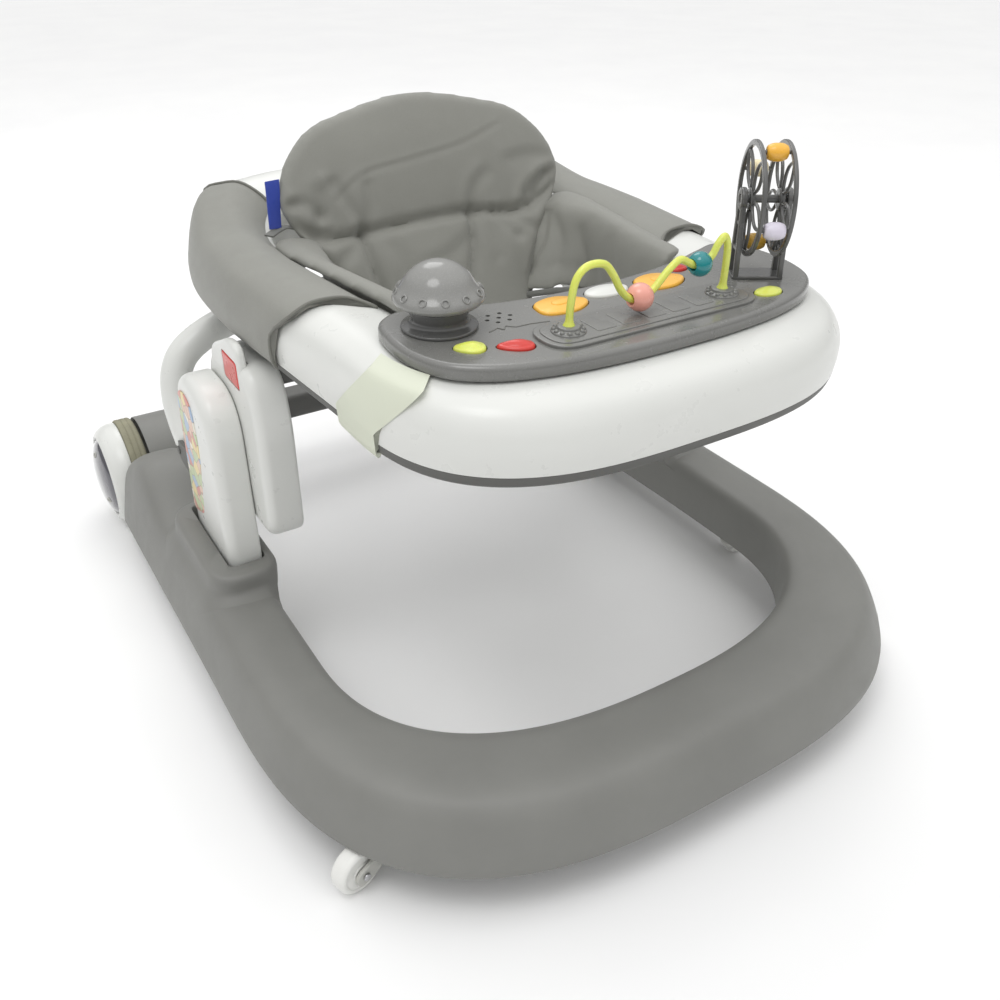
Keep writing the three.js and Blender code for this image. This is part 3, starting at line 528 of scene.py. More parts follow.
def metal(slot, colour):
    """Turned steel: fine lines across the stock and a patchy polish."""
    look = Look(slot)
    lines = look.noise(700, 2, 0.5, stretch=(0.05, 1.0, 1.0))
    base = look.mix(look.ramp(lines, 0.3, 0.7), shade(colour, 0.85), shade(colour, 1.08))
    roughness = look.ramp(look.noise(90, 4), 0.3, 0.7, 0.24, 0.44)
    look.finish(base, roughness, look.bump(lines, 0.1, 0.0002))
    look.set(Metallic=1.0)
    return slot, look.material


def sticker(slot):
    """Printed label with a generic patchwork of pastel shapes on a pale ground."""
    look = Look("label_print")
    patch_scale = 85
    cells = look.add("ShaderNodeTexVoronoi")
    cells.inputs["Scale"].default_value = patch_scale
    look.link(look.place, cells, "Vector")
    hue = look.add("ShaderNodeValToRGB")
    hue.color_ramp.interpolation = "CONSTANT"
    tones = [(0.0, srgb(226, 196, 178)), (0.2, srgb(196, 208, 168)), (0.38, srgb(170, 190, 214)),
             (0.55, srgb(232, 214, 160)), (0.72, srgb(214, 150, 140)), (0.86, srgb(236, 230, 216))]
    stops = hue.color_ramp.elements
    stops[0].color = tones[0][1]
    stops[1].position, stops[1].color = tones[1]
    for position, tone in tones[2:]:
        stops.new(position).color = tone
    split = look.add("ShaderNodeSeparateColor")
    look.link(cells.outputs["Color"], split, "Color")
    look.link(split.outputs[0], hue, "Fac")
    ink = look.ramp(look.cell_edges(patch_scale), 0.02, 0.05, 0.55, 0.0)
    base = look.mix(ink, hue.outputs["Color"], srgb(140, 110, 90))
    rough = look.ramp(look.noise(80, 3), 0.3, 0.7, 0.3, 0.4)
    look.finish(base, rough, look.bump(look.noise(400, 2), 0.05, 0.0003))
    return slot, look.material


GLOSS = {"Coat_Weight": 0.3, "Coat_Roughness": 0.12}
BASE_GREY = plastic("base_grey", srgb(127, 127, 123), 0.5, grain=0.22, grain_scale=1500, wear=0.08, peel=0.03)
# Darker grey for the trim parts; on the rear axle beam the same grey is painted shade, standing in for the
# shade that falls on the beam under the rear of the base.
TRIM_GREY_AND_PAINTED_SHADE = plastic("dark_trim", srgb(96, 96, 93), 0.55, grain=0.22, grain_scale=1300)
WHITE = plastic("white_plastic", srgb(221, 222, 218), 0.3, grain=0.03, mottle=0.01, wear=0.0, peel=0.02,
                Coat_Weight=0.15, Coat_Roughness=0.2)
CREAM = plastic("cream_plastic", srgb(214, 218, 200), 0.55, grain=0.18, mottle=0.015, wear=0.02)
RED = plastic("red_plastic", srgb(208, 48, 38), 0.28, grain=0.06, **GLOSS)
LIME = plastic("lime_plastic", srgb(222, 230, 104), 0.28, grain=0.06, Subsurface_Weight=0.1,
               Subsurface_Scale=0.004, **GLOSS)
ORANGE = plastic("orange_plastic", srgb(247, 186, 66), 0.28, grain=0.06, **GLOSS)
PINK = plastic("pink_plastic", srgb(236, 164, 148), 0.25, grain=0.05, Coat_Weight=0.4, Coat_Roughness=0.1)
TEAL = plastic("teal_plastic", srgb(8, 132, 136), 0.18, grain=0.05, Coat_Weight=0.5, Coat_Roughness=0.08)
PALE = plastic("pale_plastic", srgb(246, 232, 190), 0.28, grain=0.05, Coat_Weight=0.3)
LILAC = plastic("lilac_plastic", srgb(222, 216, 230), 0.28, grain=0.05, Coat_Weight=0.3)
OCHRE = plastic("ochre_plastic", srgb(214, 168, 62), 0.28, grain=0.05, Coat_Weight=0.3)
CASTER_WHITE = plastic("caster_white", srgb(232, 232, 228), 0.35, grain=0.06, mottle=0.02, wear=0.05)
CASTER_GREY = plastic("caster_grey", srgb(186, 186, 180), 0.4, grain=0.12)
LENS = plastic("lens_plastic", srgb(84, 83, 90), 0.1, grain=0.02, mottle=0.15, wear=0.0, peel=0.02,
               Coat_Weight=1.0, Coat_Roughness=0.04)
DARK_TOY = plastic("dark_toy", srgb(92, 92, 91), 0.24, grain=0.05, mottle=0.06, Coat_Weight=0.4,
                   Coat_Roughness=0.15)
TRAY_GREY = flecked("tray_grey", srgb(117, 117, 114), 0.24)
DOME_GREY = flecked("tray_grey", srgb(134, 134, 131), 0.14)
TYRE = rubber("tyre_rubber", srgb(146, 143, 122))
STEEL = metal("axle_steel", srgb(190, 190, 192))
CLOTH = coated_cloth("seat_fabric", srgb(139, 139, 132))
CLOTH_DARK = coated_cloth("seat_fabric", srgb(118, 118, 111))
TAPE = webbing("seat_fabric", srgb(112, 113, 108))
TAG_BLUE = webbing("seat_fabric", srgb(38, 66, 168), 1500)
LABEL = sticker("white_plastic")


# ---------- camera, light and floor ----------
SENSOR_WIDTH = 36.0
# Focal length as a share of the sensor's width.
FOCAL_SHARE = 0.9716
CAMERA_PLACE = (-0.43255, -0.73644, 0.6488)
CAMERA_AZIMUTH, CAMERA_PITCH, CAMERA_ROLL = radians(31.86), radians(32.55), radians(0.19)
# Strength of the backdrop's light at the horizon and straight above.
HORIZON_LIGHT, ZENITH_LIGHT = 0.12, 1.5
LAMP_TARGET = (0, 0, 0.2)
# Place, diameter and power of each lamp.
LAMPS = {"key": ((-0.9, -0.6, 2.6), 1.2, 11), "fill": ((1.9, -1.0, 1.5), 2.0, 1),
         "back": ((0.5, 1.7, 2.4), 1.5, 11)}
FLOOR_HALF = 30


def soft_sky():
    """A white backdrop whose light comes mostly from above, as under a large softbox."""
    world = bpy.data.worlds.new("studio")
    world.use_nodes = True
    nodes, links = world.node_tree.nodes, world.node_tree.links
    background = nodes["Background"]
    background.inputs["Color"].default_value = (1.0, 1.0, 1.0, 1.0)
    split = nodes.new("ShaderNodeSeparateXYZ")
    height = nodes.new("ShaderNodeMapRange")
    height.inputs["To Min"].default_value = HORIZON_LIGHT
    height.inputs["To Max"].default_value = ZENITH_LIGHT
    seen = nodes.new("ShaderNodeMix")
    seen.inputs["B"].default_value = 1.0
    links.new(nodes.new("ShaderNodeTexCoord").outputs["Generated"], split.inputs[0])
    links.new(split.outputs["Z"], height.inputs["Value"])
    links.new(nodes.new("ShaderNodeLightPath").outputs["Is Camera Ray"], seen.inputs["Factor"])
    links.new(height.outputs["Result"], seen.inputs["A"])
    links.new(seen.outputs["Result"], background.inputs["Strength"])
    bpy.context.scene.world = world


def camera():
    """The camera in front of the walker on its left, looking down."""
    data = bpy.data.cameras.new("camera")
    data.sensor_width = SENSOR_WIDTH
    data.lens = FOCAL_SHARE * SENSOR_WIDTH
    data.clip_start = 0.02
    obj = bpy.data.objects.new("camera", data)
    level = cos(CAMERA_PITCH)
    forward = Vector((sin(CAMERA_AZIMUTH) * level, cos(CAMERA_AZIMUTH) * level, -sin(CAMERA_PITCH)))
    turn = forward.to_track_quat("-Z", "Y").to_matrix() @ Matrix.Rotation(CAMERA_ROLL, 3, "Z")
    obj.matrix_world = Matrix.Translation(CAMERA_PLACE) @ turn.to_4x4()
    bpy.context.scene.collection.objects.link(obj)
    bpy.context.scene.camera = obj


def lamp(name, spot, size, power):
    """A round lamp turned towards the middle of the walker."""
    data = bpy.data.lights.new(name, "AREA")
    data.shape = "DISK"
    data.size = size
    data.energy = power
    obj = bpy.data.objects.new(name, data)
    obj.location = spot
    obj.rotation_euler = (Vector(LAMP_TARGET) - Vector(spot)).to_track_quat("-Z", "Y").to_euler()
    bpy.context.scene.collection.objects.link(obj)


def floor():
    """A wide pale floor."""
    corners = [(a * FLOOR_HALF, b * FLOOR_HALF, 0) for a, b in ((-1, -1), (1, -1), (1, 1), (-1, 1))]
    mesh = bpy.data.meshes.new("floor")
    mesh.from_pydata(corners, [], [(0, 1, 2, 3)])
    obj = bpy.data.objects.new("floor", mesh)
    bpy.context.scene.collection.objects.link(obj)
    look = Look("floor")
    base = look.mix(look.ramp(look.noise(3, 3), 0.3, 0.7), (0.9, 0.9, 0.9, 1), (0.93, 0.93, 0.925, 1))
    rough = look.ramp(look.noise(20, 3), 0.3, 0.7, 0.5, 0.6)
    look.finish(base, rough, look.bump(look.noise(400, 2), 0.02, 0.0002))
    mesh.materials.append(look.material)


camera()
soft_sky()
bpy.context.scene.view_settings.view_transform = "Standard"
for name, (spot, size, power) in LAMPS.items():
    lamp(name, spot, size, power)
floor()


# ---------- base ----------
RAIL_REAR = 682
OUTER_RIM = {"half": 310, "front": -3, "corner": 300}
INNER_RIM = {"half": 233, "front": 86, "corner": 257, "power": 2.5}
# y and z of the rear axle, and the radius of the cut that the rails leave round its drum.
AXLE = (715, 61)
HOUSING_CUT = 66.0
# Share of the way from the outer to the inner rim, and from the rim's foot to the rail's top.
RAIL_OUTSIDE = [(0, 0), (0.006, 0.12), (0.05, 0.36), (0.11, 0.6), (0.18, 0.8), (0.26, 0.92), (0.36, 0.975),
                (0.5, 1), (0.7, 1), (0.86, 0.985), (0.94, 0.93), (0.985, 0.8), (1, 0.55), (1, 0.1), (1, 0)]
RAIL_INSIDE = [(0.955, 0), (0.955, 0.55), (0.94, 0.78), (0.89, 0.89), (0.8, 0.93), (0.5, 0.935), (0.37, 0.9),
               (0.28, 0.83), (0.21, 0.69), (0.15, 0.51), (0.095, 0.3), (0.055, 0)]


def front_point(t, half, front, corner, power=3.0):
    """A point of the rounded front, from the left corner (t -1) over the middle (0) to the right (1)."""
    angle = t * pi / 2
    x = np.sign(t) * half * abs(sin(angle)) ** (2 / power)
    y = corner - (corner - front) * max(cos(angle), 0.0) ** (2 / power)
    return np.array([x, y])


def rim_z(y):
    """Height of the rim's foot above the floor."""
    return lerp(43, 33, smooth(300, RAIL_REAR, y))


def rail_top(y):
    """Height of the rail's highest line, rising behind the posts and dropping to the wheels."""
    nose = np.clip((y - 600) / 82, 0, 1)
    return lerp(98, 128, smooth(500, 600, y)) - 45 * nose * nose


def rail_profile():
    """The rail's cross-section: its outer skin, then the underside."""
    outside = spline(RAIL_OUTSIDE, 4)
    return np.vstack([outside, spline(RAIL_INSIDE, 3)])


def rail_end(w):
    """Where a line of the rail's skin runs into the cut round the wheel housing."""
    for y in np.arange(600, RAIL_REAR, 0.5):
        z = lerp(rim_z(y), rail_top(y), w)
        if (y - AXLE[0]) ** 2 + (z - AXLE[1]) ** 2 < HOUSING_CUT ** 2:
            return y
    return RAIL_REAR


def rail_rings():
    """Cross-sections from one rail's rear end round the front to the other's."""
    profile = rail_profile()
    rings = []
    bend, straight = 44, 34
    for i in range(-bend, bend + 1):
        a, b = (front_point(i / bend, **rim) for rim in (OUTER_RIM, INNER_RIM))
        xy = lerp(a, b, profile[:, :1])
        rings.append(np.column_stack([xy, lerp(rim_z(xy[:, 1]), rail_top(xy[:, 1]), profile[:, 1])]))
    ends = np.array([rail_end(w) for w in profile[:, 1]])
    for i in range(1, straight + 1):
        s = i / straight
        start = lerp(OUTER_RIM["corner"], INNER_RIM["corner"], profile[:, 0])
        y = lerp(start, ends, s)
        x = lerp(OUTER_RIM["half"], INNER_RIM["half"], profile[:, 0])
        ring = np.column_stack([x, y, lerp(rim_z(y), rail_top(y), profile[:, 1])])
        rings.append(ring)
        rings.insert(0, ring * [-1, 1, 1])
    return rings


def rail_surface(x, y):
    """Height of the rail's upper skin at a point beside the child."""
    u = np.clip((OUTER_RIM["half"] - x) / (OUTER_RIM["half"] - INNER_RIM["half"]), 0, 1)
    profile = spline(RAIL_OUTSIDE[:-3], 4)
    w = np.interp(u, profile[:, 0], profile[:, 1])
    return lerp(rim_z(y), rail_top(y), w)


def socket():
    """The collar that holds a post, flaring softly into the rail."""
    block = dense(rounded([[222, 364, 26], [286, 364, 30], [286, 516, 32], [222, 516, 26]], 8), 5)
    slot = rounded([[231, 385, 7], [265.5, 385, 7], [265.5, 505, 7], [231, 505, 7]], 8)
    rings = []
    for k in np.linspace(1, 0, 10):
        shape = inset(block, -20 * k ** 2)
        shape[:, 0] = np.maximum(shape[:, 0], lerp(222, 233.5, k ** 0.5))
        foot = np.minimum(rail_surface(shape[:, 0], shape[:, 1]) - 2.5, 110)
        rings.append(np.column_stack([shape, lerp(111, foot, k ** 0.55)]))
    for inward, z in ((0.4, 115), (1.6, 118), (3.6, 119.7), (6, 120)):
        rings.append(np.column_stack([inset(block, inward), np.full(len(block), z)]))
    matched = nearest_ring(slot, inset(block, 8))
    for inward, z in ((-1.2, 120), (-0.3, 119.4), (0, 118), (0, 92)):
        rings.append(np.column_stack([inset_like(matched, slot, inward), np.full(len(block), z)]))
    return loft(rings, caps=False)


def nearest_ring(target, ring):
    """For each point of ring, the point of the closed outline target in the same direction."""
    centre = target.mean(axis=0)
    loop = dense(target, 1.0)
    angles = np.arctan2(*(loop - centre).T[::-1])
    wanted = np.arctan2(*(ring - centre).T[::-1])
    return loop[[int(np.argmin(np.abs(np.angle(np.exp(1j * (angles - w)))))) for w in wanted]]


def inset_like(points, outline, distance):
    """The points moved towards the middle of the outline."""
    centre = outline.mean(axis=0)
    away = points - centre
    return points - away / np.linalg.norm(away, axis=1)[:, None] * distance


def caster_pad(x, y):
    """Boss for a caster's stem, hung from the rail's skin by a stub on its inner side."""
    boss = [[0, 57, 0], [12, 57, 1.5], [12, 78, 1], [0, 78, 0]]
    stub = [[0, 70], [8, 70], [8, 92], [0, 92]]
    return merge(solid_turned(boss, 3, 32, ((x, y, 0), (0, 0, 1))),
                 turned(stub, 24, ((0.976 * x, y + 4, 0), (0, 0, 1)), closed=False))


# Stem's x and y, and the heading in degrees along which the wheel trails.
CASTERS = {"front_left": (-252, 112, -165), "front_right": (252, 112, -15),
           "mid_left": (-272, 262, 100), "mid_right": (272, 262, 80)}

rails = loft(rail_rings())
sockets = [mirrored(socket(), side) for side in SIDES.values()]
pads = [caster_pad(x, y) for x, y, _ in CASTERS.values()]
piece("base_moulding", merge(rails, *sockets, *pads), "base", BASE_GREY, ["base_frame"], sharp=50)


# ---------- rear axle and wheels ----------
def drum():
    """The wheel housing, open towards the floor."""
    profile = rounded([[56, 218, 0.5], [56, 262, 0.5], [60, 266.5, 3], [60, 214, 5],
                       [13, 214, 1], [13, 218, 1]], 4)
    first, last, steps = radians(-35), radians(215), 48
    rings = []
    for k in range(steps + 1):
        angle = lerp(first, last, k / steps)
        rings.append(np.array([[h, AXLE[0] + r * cos(angle), AXLE[1] + r * sin(angle)] for r, h in profile]))
    return loft(rings)


WHEEL_INNER_FACE = 268
WHEEL_AXIS = ((WHEEL_INNER_FACE, *AXLE), (1, 0, 0))


def tyre():
    """The grey tyre with its two shallow grooves."""
    tread = [[13, 0, 0.5], [58, 0, 2], [61, 2.4, 1.5], [61, 5.6, 0.4], [60.3, 6.0, 0.3], [60.3, 6.8, 0.3],
             [61, 7.2, 0.4], [61, 11.8, 0.4], [60.3, 12.2, 0.3], [60.3, 13, 0.3], [61, 13.4, 0.4],
             [61, 17.4, 1], [59.5, 19, 1], [13, 19, 0.5]]
    return turned(rounded(tread, 3), 96, WHEEL_AXIS)


def wheel_cap():
    """The white dish with a raised rim round the lens."""
    shape = [[10, 19.3, 0.3], [58.6, 19.3, 0.8], [59.4, 24, 4], [58, 32, 9], [53, 40, 8], [48.5, 43.6, 3],
             [46.3, 43.2, 1], [45.6, 41, 1], [45.5, 36.3, 0.5], [10, 36.3, 0.5]]
    return turned(rounded(shape, 6), 96, WHEEL_AXIS)


def wheel_lens():
    """The dark domed lens."""
    shape = [[0, 37.2, 0], [45, 37.2, 0.3], [45, 41, 2], [39, 46.2, 9], [27, 50.6, 9],
             [12, 52.8, 8], [0, 53.1, 0]]
    return solid_turned(shape, 6, 96, WHEEL_AXIS)


def lens_stud(angle):
    """A small ring moulded on the wheel's dark lens."""
    radius, height, lean = 31.0, 49.2, 0.36
    profile = [[1.6, -1.5], [1.8, 0.7], [2.6, 1.1], [3.4, 0.6], [3.8, -1.5]]
    centre = (WHEEL_INNER_FACE + height, AXLE[0] + radius * cos(angle), AXLE[1] + radius * sin(angle))
    return turned(profile, 20, (centre, (1, lean * cos(angle), lean * sin(angle))))


def beam():
    """The cross bar between the two wheel housings."""
    y = AXLE[0] + 2
    return plate(oblong(y - 17, y + 17, 80, 112, 9, 6), -213.5, 213.5, 0.5, 0.5, "x")


# The beam takes the darker trim grey as painted shade: it stands in for the shade on the beam's face under
# the rear of the base.
piece("axle_beam", beam(), "base", TRIM_GREY_AND_PAINTED_SHADE, ["rear_beam"])
studs = merge(*[lens_stud(pi / 2 + 2 * pi * k / 3) for k in range(3)])
for name, side in SIDES.items():
    wheel = f"rear_wheel_{name}"
    piece(f"wheel_housing_{name}", mirrored(drum(), side), "base", BASE_GREY, [f"axle_housing_{name}"])
    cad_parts[f"rear_axle_{name}"].material_slots[0].material = STEEL[1]
    piece(f"wheel_band_{name}", mirrored(tyre(), side), wheel, TYRE, [f"rear_tyre_{name}"])
    piece(f"wheel_dish_{name}", mirrored(wheel_cap(), side), wheel, WHITE, [f"rear_wheel_cap_{name}"])
    piece(f"wheel_dome_{name}", mirrored(wheel_lens(), side), wheel, LENS, [f"rear_wheel_lens_{name}"])
    piece(f"wheel_studs_{name}", mirrored(studs, side), wheel, CASTER_GREY)


# ---------- casters ----------
ROLLER_AXIS = ((25, 0, 20), (0, 1, 0))


def caster_fork():
    """Two cheeks under a crown, with the stem and its washer."""
    cheek = rounded([[-9, 33, 5], [9, 33, 9], [34, 24, 10], [32, 11, 9], [16, 13, 8]], 6)
    cheeks = [plate(cheek, y, y + 3.4, 1, 1, "y") for y in (8.6, -12.0)]
    crown = plate(oblong(-9, 5, 28.5, 33, 1.5, 3), -11.8, 11.8, 0.6, 0.6, "y")
    stem = solid_turned([[0, 30, 0], [3.9, 30, 0], [3.9, 73, 1], [0, 74, 0]], 3, 24)
    washer = turned([[2, 32.9], [8.5, 32.9], [8.9, 34], [8.5, 36], [2, 36]], 28)
    return merge(*cheeks, crown, stem, washer)


def caster_roller():
    """The wheel, with a groove on each side of its tread."""
    tread = [[2.9, -7.5, 0.3], [7, -7.5, 0.6], [8, -6.6, 0.6], [14.5, -6.6, 0.6], [15.5, -7.6, 0.8],
             [18, -7.6, 2], [20, -5, 2.5], [20, 5, 2.5], [18, 7.6, 2], [15.5, 7.6, 0.8],
             [14.5, 6.6, 0.6], [8, 6.6, 0.6], [7, 7.5, 0.6], [2.9, 7.5, 0.3]]
    return turned(rounded(tread, 4), 56, ROLLER_AXIS)


def caster_pin():
    """The heads of the wheel's pin outside both cheeks."""
    heads = [[[0, s * 12.3, 0], [3.2, s * 12.3, 0.8], [3.2, s * 14, 1], [0, s * 14.4, 0]] for s in (-1, 1)]
    return merge(*[solid_turned(head, 4, 20, ROLLER_AXIS) for head in heads])


def trailing(geometry, x, y, heading):
    """A caster's part moved to its stem and turned along its heading."""
    verts, faces = geometry
    a = radians(heading)
    spin = np.array([[cos(a), sin(a), 0], [-sin(a), cos(a), 0], [0, 0, 1]])
    return verts @ spin + [x, y, 0], faces


for name, (x, y, heading) in CASTERS.items():
    fork, roller, pin = (trailing(part(), x, y, heading) for part in (caster_fork, caster_roller, caster_pin))
    piece(f"caster_yoke_{name}", fork, f"caster_{name}", CASTER_GREY, [f"caster_fork_{name}"])
    piece(f"caster_pin_{name}", pin, f"caster_{name}", STEEL)
    piece(f"caster_tread_{name}", roller, f"caster_roller_{name}", CASTER_WHITE, [f"caster_wheel_{name}"])


# ---------- posts, sliders, buttons and push bar ----------
POST_INNER, POST_OUTER = 233, 263


def post():
    """The post; its foot is drawn in a little so that it stays inside the rail's inner wall."""
    outline = dense(rounded([[388, 60, 9], [499, 60, 9], [499, 110, 40], [480, 283, 34],
                             [388, 283, 62]], 12), 6)
    verts, faces = plate(outline, POST_INNER, POST_OUTER, 3, 11, "x", 0, 1.2, steps=9)
    verts[:, 0] = np.maximum(verts[:, 0], POST_INNER + 3.5 * smooth(112, 98, verts[:, 2]))
    return verts, faces


def slider():
    """The sliding block and the raised knob on its top, with a well for the release button."""
    block = dense(rounded([[351, 155, 20], [474, 155, 14], [474, 286, 20], [440, 313.5, 24],
                           [362, 313.5, 26], [349, 270, 30]], 10), 6)
    knob = dense(rounded([[376, 290, 6], [458, 290, 10], [452, 308, 12], [404, 330, 20],
                          [378, 330, 16]], 10), 5)
    well = plate(oblong(381, 419, 290, 316, 4, 5), 222, 240, 0.3, 0.3, "x")
    shells = [plate(block, 200.5, 232.2, 4, 9, "x", 1.0, 0.5, steps=8),
              plate(knob, 224, 232.4, 2.5, 4, "x", steps=6)]
    return merge(*[carve(shell, well) for shell in shells])


def release_button():
    """The red button in the slider's well."""
    return plate(oblong(382, 418, 291, 315, 3, 5), 227, 232.8, 0.6, 1.6, "x")


def post_label():
    """The printed label on the outside of a post."""
    outline = dense(rounded([[452, 140, 8], [489, 128, 10], [470, 268, 22], [432, 268, 28],
                             [426, 220, 20]], 10), 5)
    return plate(outline, POST_OUTER + 0.2, POST_OUTER + 1.3, 0.2, 0.3, "x", 0, 0.6, steps=2)


def handle_path():
    """Middle line of the push bar, from the right pivot round the back to the left one."""
    half = [[248, 527, 181], [248, 543, 196], [247, 556, 214], [242, 564, 236], [231, 568, 253],
            [208, 573, 266], [170, 582, 274], [90, 594, 277]]
    return spline(half + [[0, 598, 277]] + other_half(half), 9)


def hinge():
    """Two ears on a foot, with the pin on which the push bar folds."""
    x, y, z = 248, 522, 176
    ear = rounded([[496, z - 14, 3], [y + 4, z - 12, 10], [y + 8, z + 4, 10], [y, z + 11, 8],
                   [494, z + 14, 3]], 6)
    foot = rounded([[495.2, z - 26, 1], [499.2, z - 26, 2], [494.8, z + 16, 2], [490.8, z + 16, 1]], 3)
    pin = solid_turned([[0, -15, 0], [4.2, -15, 1], [4.2, 15, 1], [0, 15, 0]], 3, 24,
                       ((x, y, z), (1, 0, 0)))
    spans = [(ear, -13.5, -9.5), (ear, 9.5, 13.5), (foot, -13.5, 13.5)]
    return merge(*[plate(shape, x + left, x + right, 0.6, 0.6, "x") for shape, left, right in spans], pin)


def bracket():
    """The arm between a slider and the ring."""
    outline = rounded([[384, 284, 8], [448, 284, 8], [448, 313.4, 3], [384, 313.4, 3]], 5)
    return plate(outline, 150, 199.7, 1.5, 1.5, "x")


for name, side in SIDES.items():
    piece(f"post_shell_{name}", mirrored(post(), side), "base", WHITE, [f"post_{name}"])
    piece(f"post_label_{name}", mirrored(post_label(), side), "base", LABEL)
    piece(f"slider_shell_{name}", mirrored(slider(), side), "seat_ring", WHITE, [f"slider_{name}"])
    cap = mirrored(release_button(), side)
    piece(f"release_cap_{name}", cap, f"release_{name}", RED, [f"release_button_{name}"])
    piece(f"hinge_plate_{name}", mirrored(hinge(), side), "base", TRIM_GREY_AND_PAINTED_SHADE, [f"handle_hinge_{name}"])
    piece(f"ring_arm_{name}", mirrored(bracket(), side), "seat_ring", TRIM_GREY_AND_PAINTED_SHADE, [f"ring_bracket_{name}"])
piece("push_bar", tube(handle_path(), 15, 28), "handle", WHITE, ["push_handle"])


# ---------- ring ----------
OUTER = {"half": 202, "front": 73, "y1": 240, "half_rear": 216, "y2": 420, "rear": 640, "power": 3.8}
CREST = {"half": 173, "front": 112, "y1": 250, "half_rear": 181, "y2": 420, "rear": 610, "power": 3.6}
INNER = {"half": 130, "front": 226, "y1": 296, "half_rear": 152, "y2": 430, "rear": 568, "power": 3.4}
# Height of the ring's lower rim.
LOW = 326


def outline_at(curve, s):
    """A point of a ring outline: s runs 0 to 1 from the front middle round the right half to the rear."""
    s = s % 2
    flip = -1 if s > 1 else 1
    s = 2 - s if s > 1 else s
    if s <= 0.4:
        x, y = front_point(s / 0.4, curve["half"], curve["front"], curve["y1"])
    elif s < 0.6:
        t = (s - 0.4) / 0.2
        x, y = lerp(curve["half"], curve["half_rear"], t), lerp(curve["y1"], curve["y2"], t)
    else:
        x, y = front_point((1 - s) / 0.4, curve["half_rear"], -curve["rear"], -curve["y2"], curve["power"])
        y = -y
    return np.array([flip * x, y])


def crest_z(y):
    """Height of the ring's crest, rising towards the rear."""
    return 377 + 3 * smooth(300, 520, y) + 25 * smooth(490, 600, y)


def skin(s, u, z, out=0.0):
    """A point of the ring's skin, from the outer rim (u 0) over the crest (1) to the inner lip (2)."""
    a, b, c = (outline_at(curve, s) for curve in (OUTER, CREST, INNER))
    p = lerp(a, b, u) if u <= 1 else lerp(b, c, u - 1)
    away = (a - c) / np.linalg.norm(a - c)
    return np.array([*(p + away * out), z])


def skins(s, *rows):
    """Points of the skin from rows of u, z and, where it isn't 0, out."""
    return [skin(s, *row) for row in rows]


def levels_at(s):
    """Heights of the crest and of the inner lip at a station."""
    top = crest_z(outline_at(CREST, s)[1])
    return top, crest_z(outline_at(INNER, s)[1]) - 8


def shell_ring(s):
    """Cross-section of the white ring: its outer skin and the underside of its wall."""
    top, lip = levels_at(s)
    outside = skins(s, (0, LOW), (0, LOW + 14, 1.5), (0.02, LOW + 28, 0.5), (0.25, top - 9, 0.5),
                    (0.6, top - 2.5), (1, top), (1.55, lerp(top, lip, 0.45)), (1.93, lip), (2, lip - 5),
                    (2, LOW + 15))
    inside = skins(s, (2, LOW + 15, 3), (1.9, lip - 5), (1, top - 3.5), (0.6, top - 6), (0.3, top - 13),
                   (0.1, LOW + 24), (0, LOW + 12, -2.5), (0, LOW, -3))
    return np.vstack([spline(outside, 4), inside])


def trim_ring(s):
    """Cross-section of the grey edge and underside."""
    outside = skins(s, (0, LOW - 0.4), (0, LOW - 8, -3), (0, LOW - 12, -10), (0.8, LOW - 12.6),
                    (1.6, LOW - 12), (1.97, LOW - 4), (2, LOW + 14.5))
    inside = skins(s, (1.9, LOW + 14.5), (1.85, LOW - 2), (1.6, LOW - 7), (0, LOW - 7, -12),
                   (0, LOW - 0.4, -12))
    return np.vstack([spline(outside, 4), inside])


def ring_band(section, steps):
    """A cross-section carried all the way round the ring."""
    return loft([section(s) for s in np.linspace(0, 2, steps, endpoint=False)], closed=True)


def collar_ring(s):
    """Cross-section of the soft band, wrapped over the ring's outer skin."""
    outside = skins(s, (0, LOW - 15.5, -30), (0, LOW - 15.5, -6), (0, LOW - 8, 1.6), (0, LOW, 3.2),
                    (0, LOW + 14, 4.8), (0.02, LOW + 28, 3.8), (0.25, 372.4, 3.2), (0.5, 376.8, 2.2),
                    (0.72, 378.8, 1))
    inside = skins(s, (0.72, 376.6, 0), (0.5, 374.6, 0.6), (0.25, 369.6, 1.2), (0.02, LOW + 28.5, 1.6),
                   (0, LOW + 14, 2.6), (0, LOW, 1.2), (0, LOW - 8, -0.6), (0, LOW - 12.5, -8),
                   (0, LOW - 12.5, -30))
    return np.vstack([spline(outside, 5), inside])


def ring_collar():
    """The soft band fastened round the ring beside the tray, a little wider at the top."""
    rings = []
    for k in np.linspace(0, 1, 20):
        wide, narrow = (collar_ring(lerp(a, b, k)) for a, b in ((-0.366, -0.282), (-0.4, -0.352)))
        share = np.clip((wide[:, 2:] - 335) / 40, 0, 1)
        rings.append(lerp(narrow, wide, share))
    return loft(rings)


# Points of a cover's cross-section on its outer and on its inner skin.
COVER_OUTSIDE = 55
COVER_INSIDE = 7


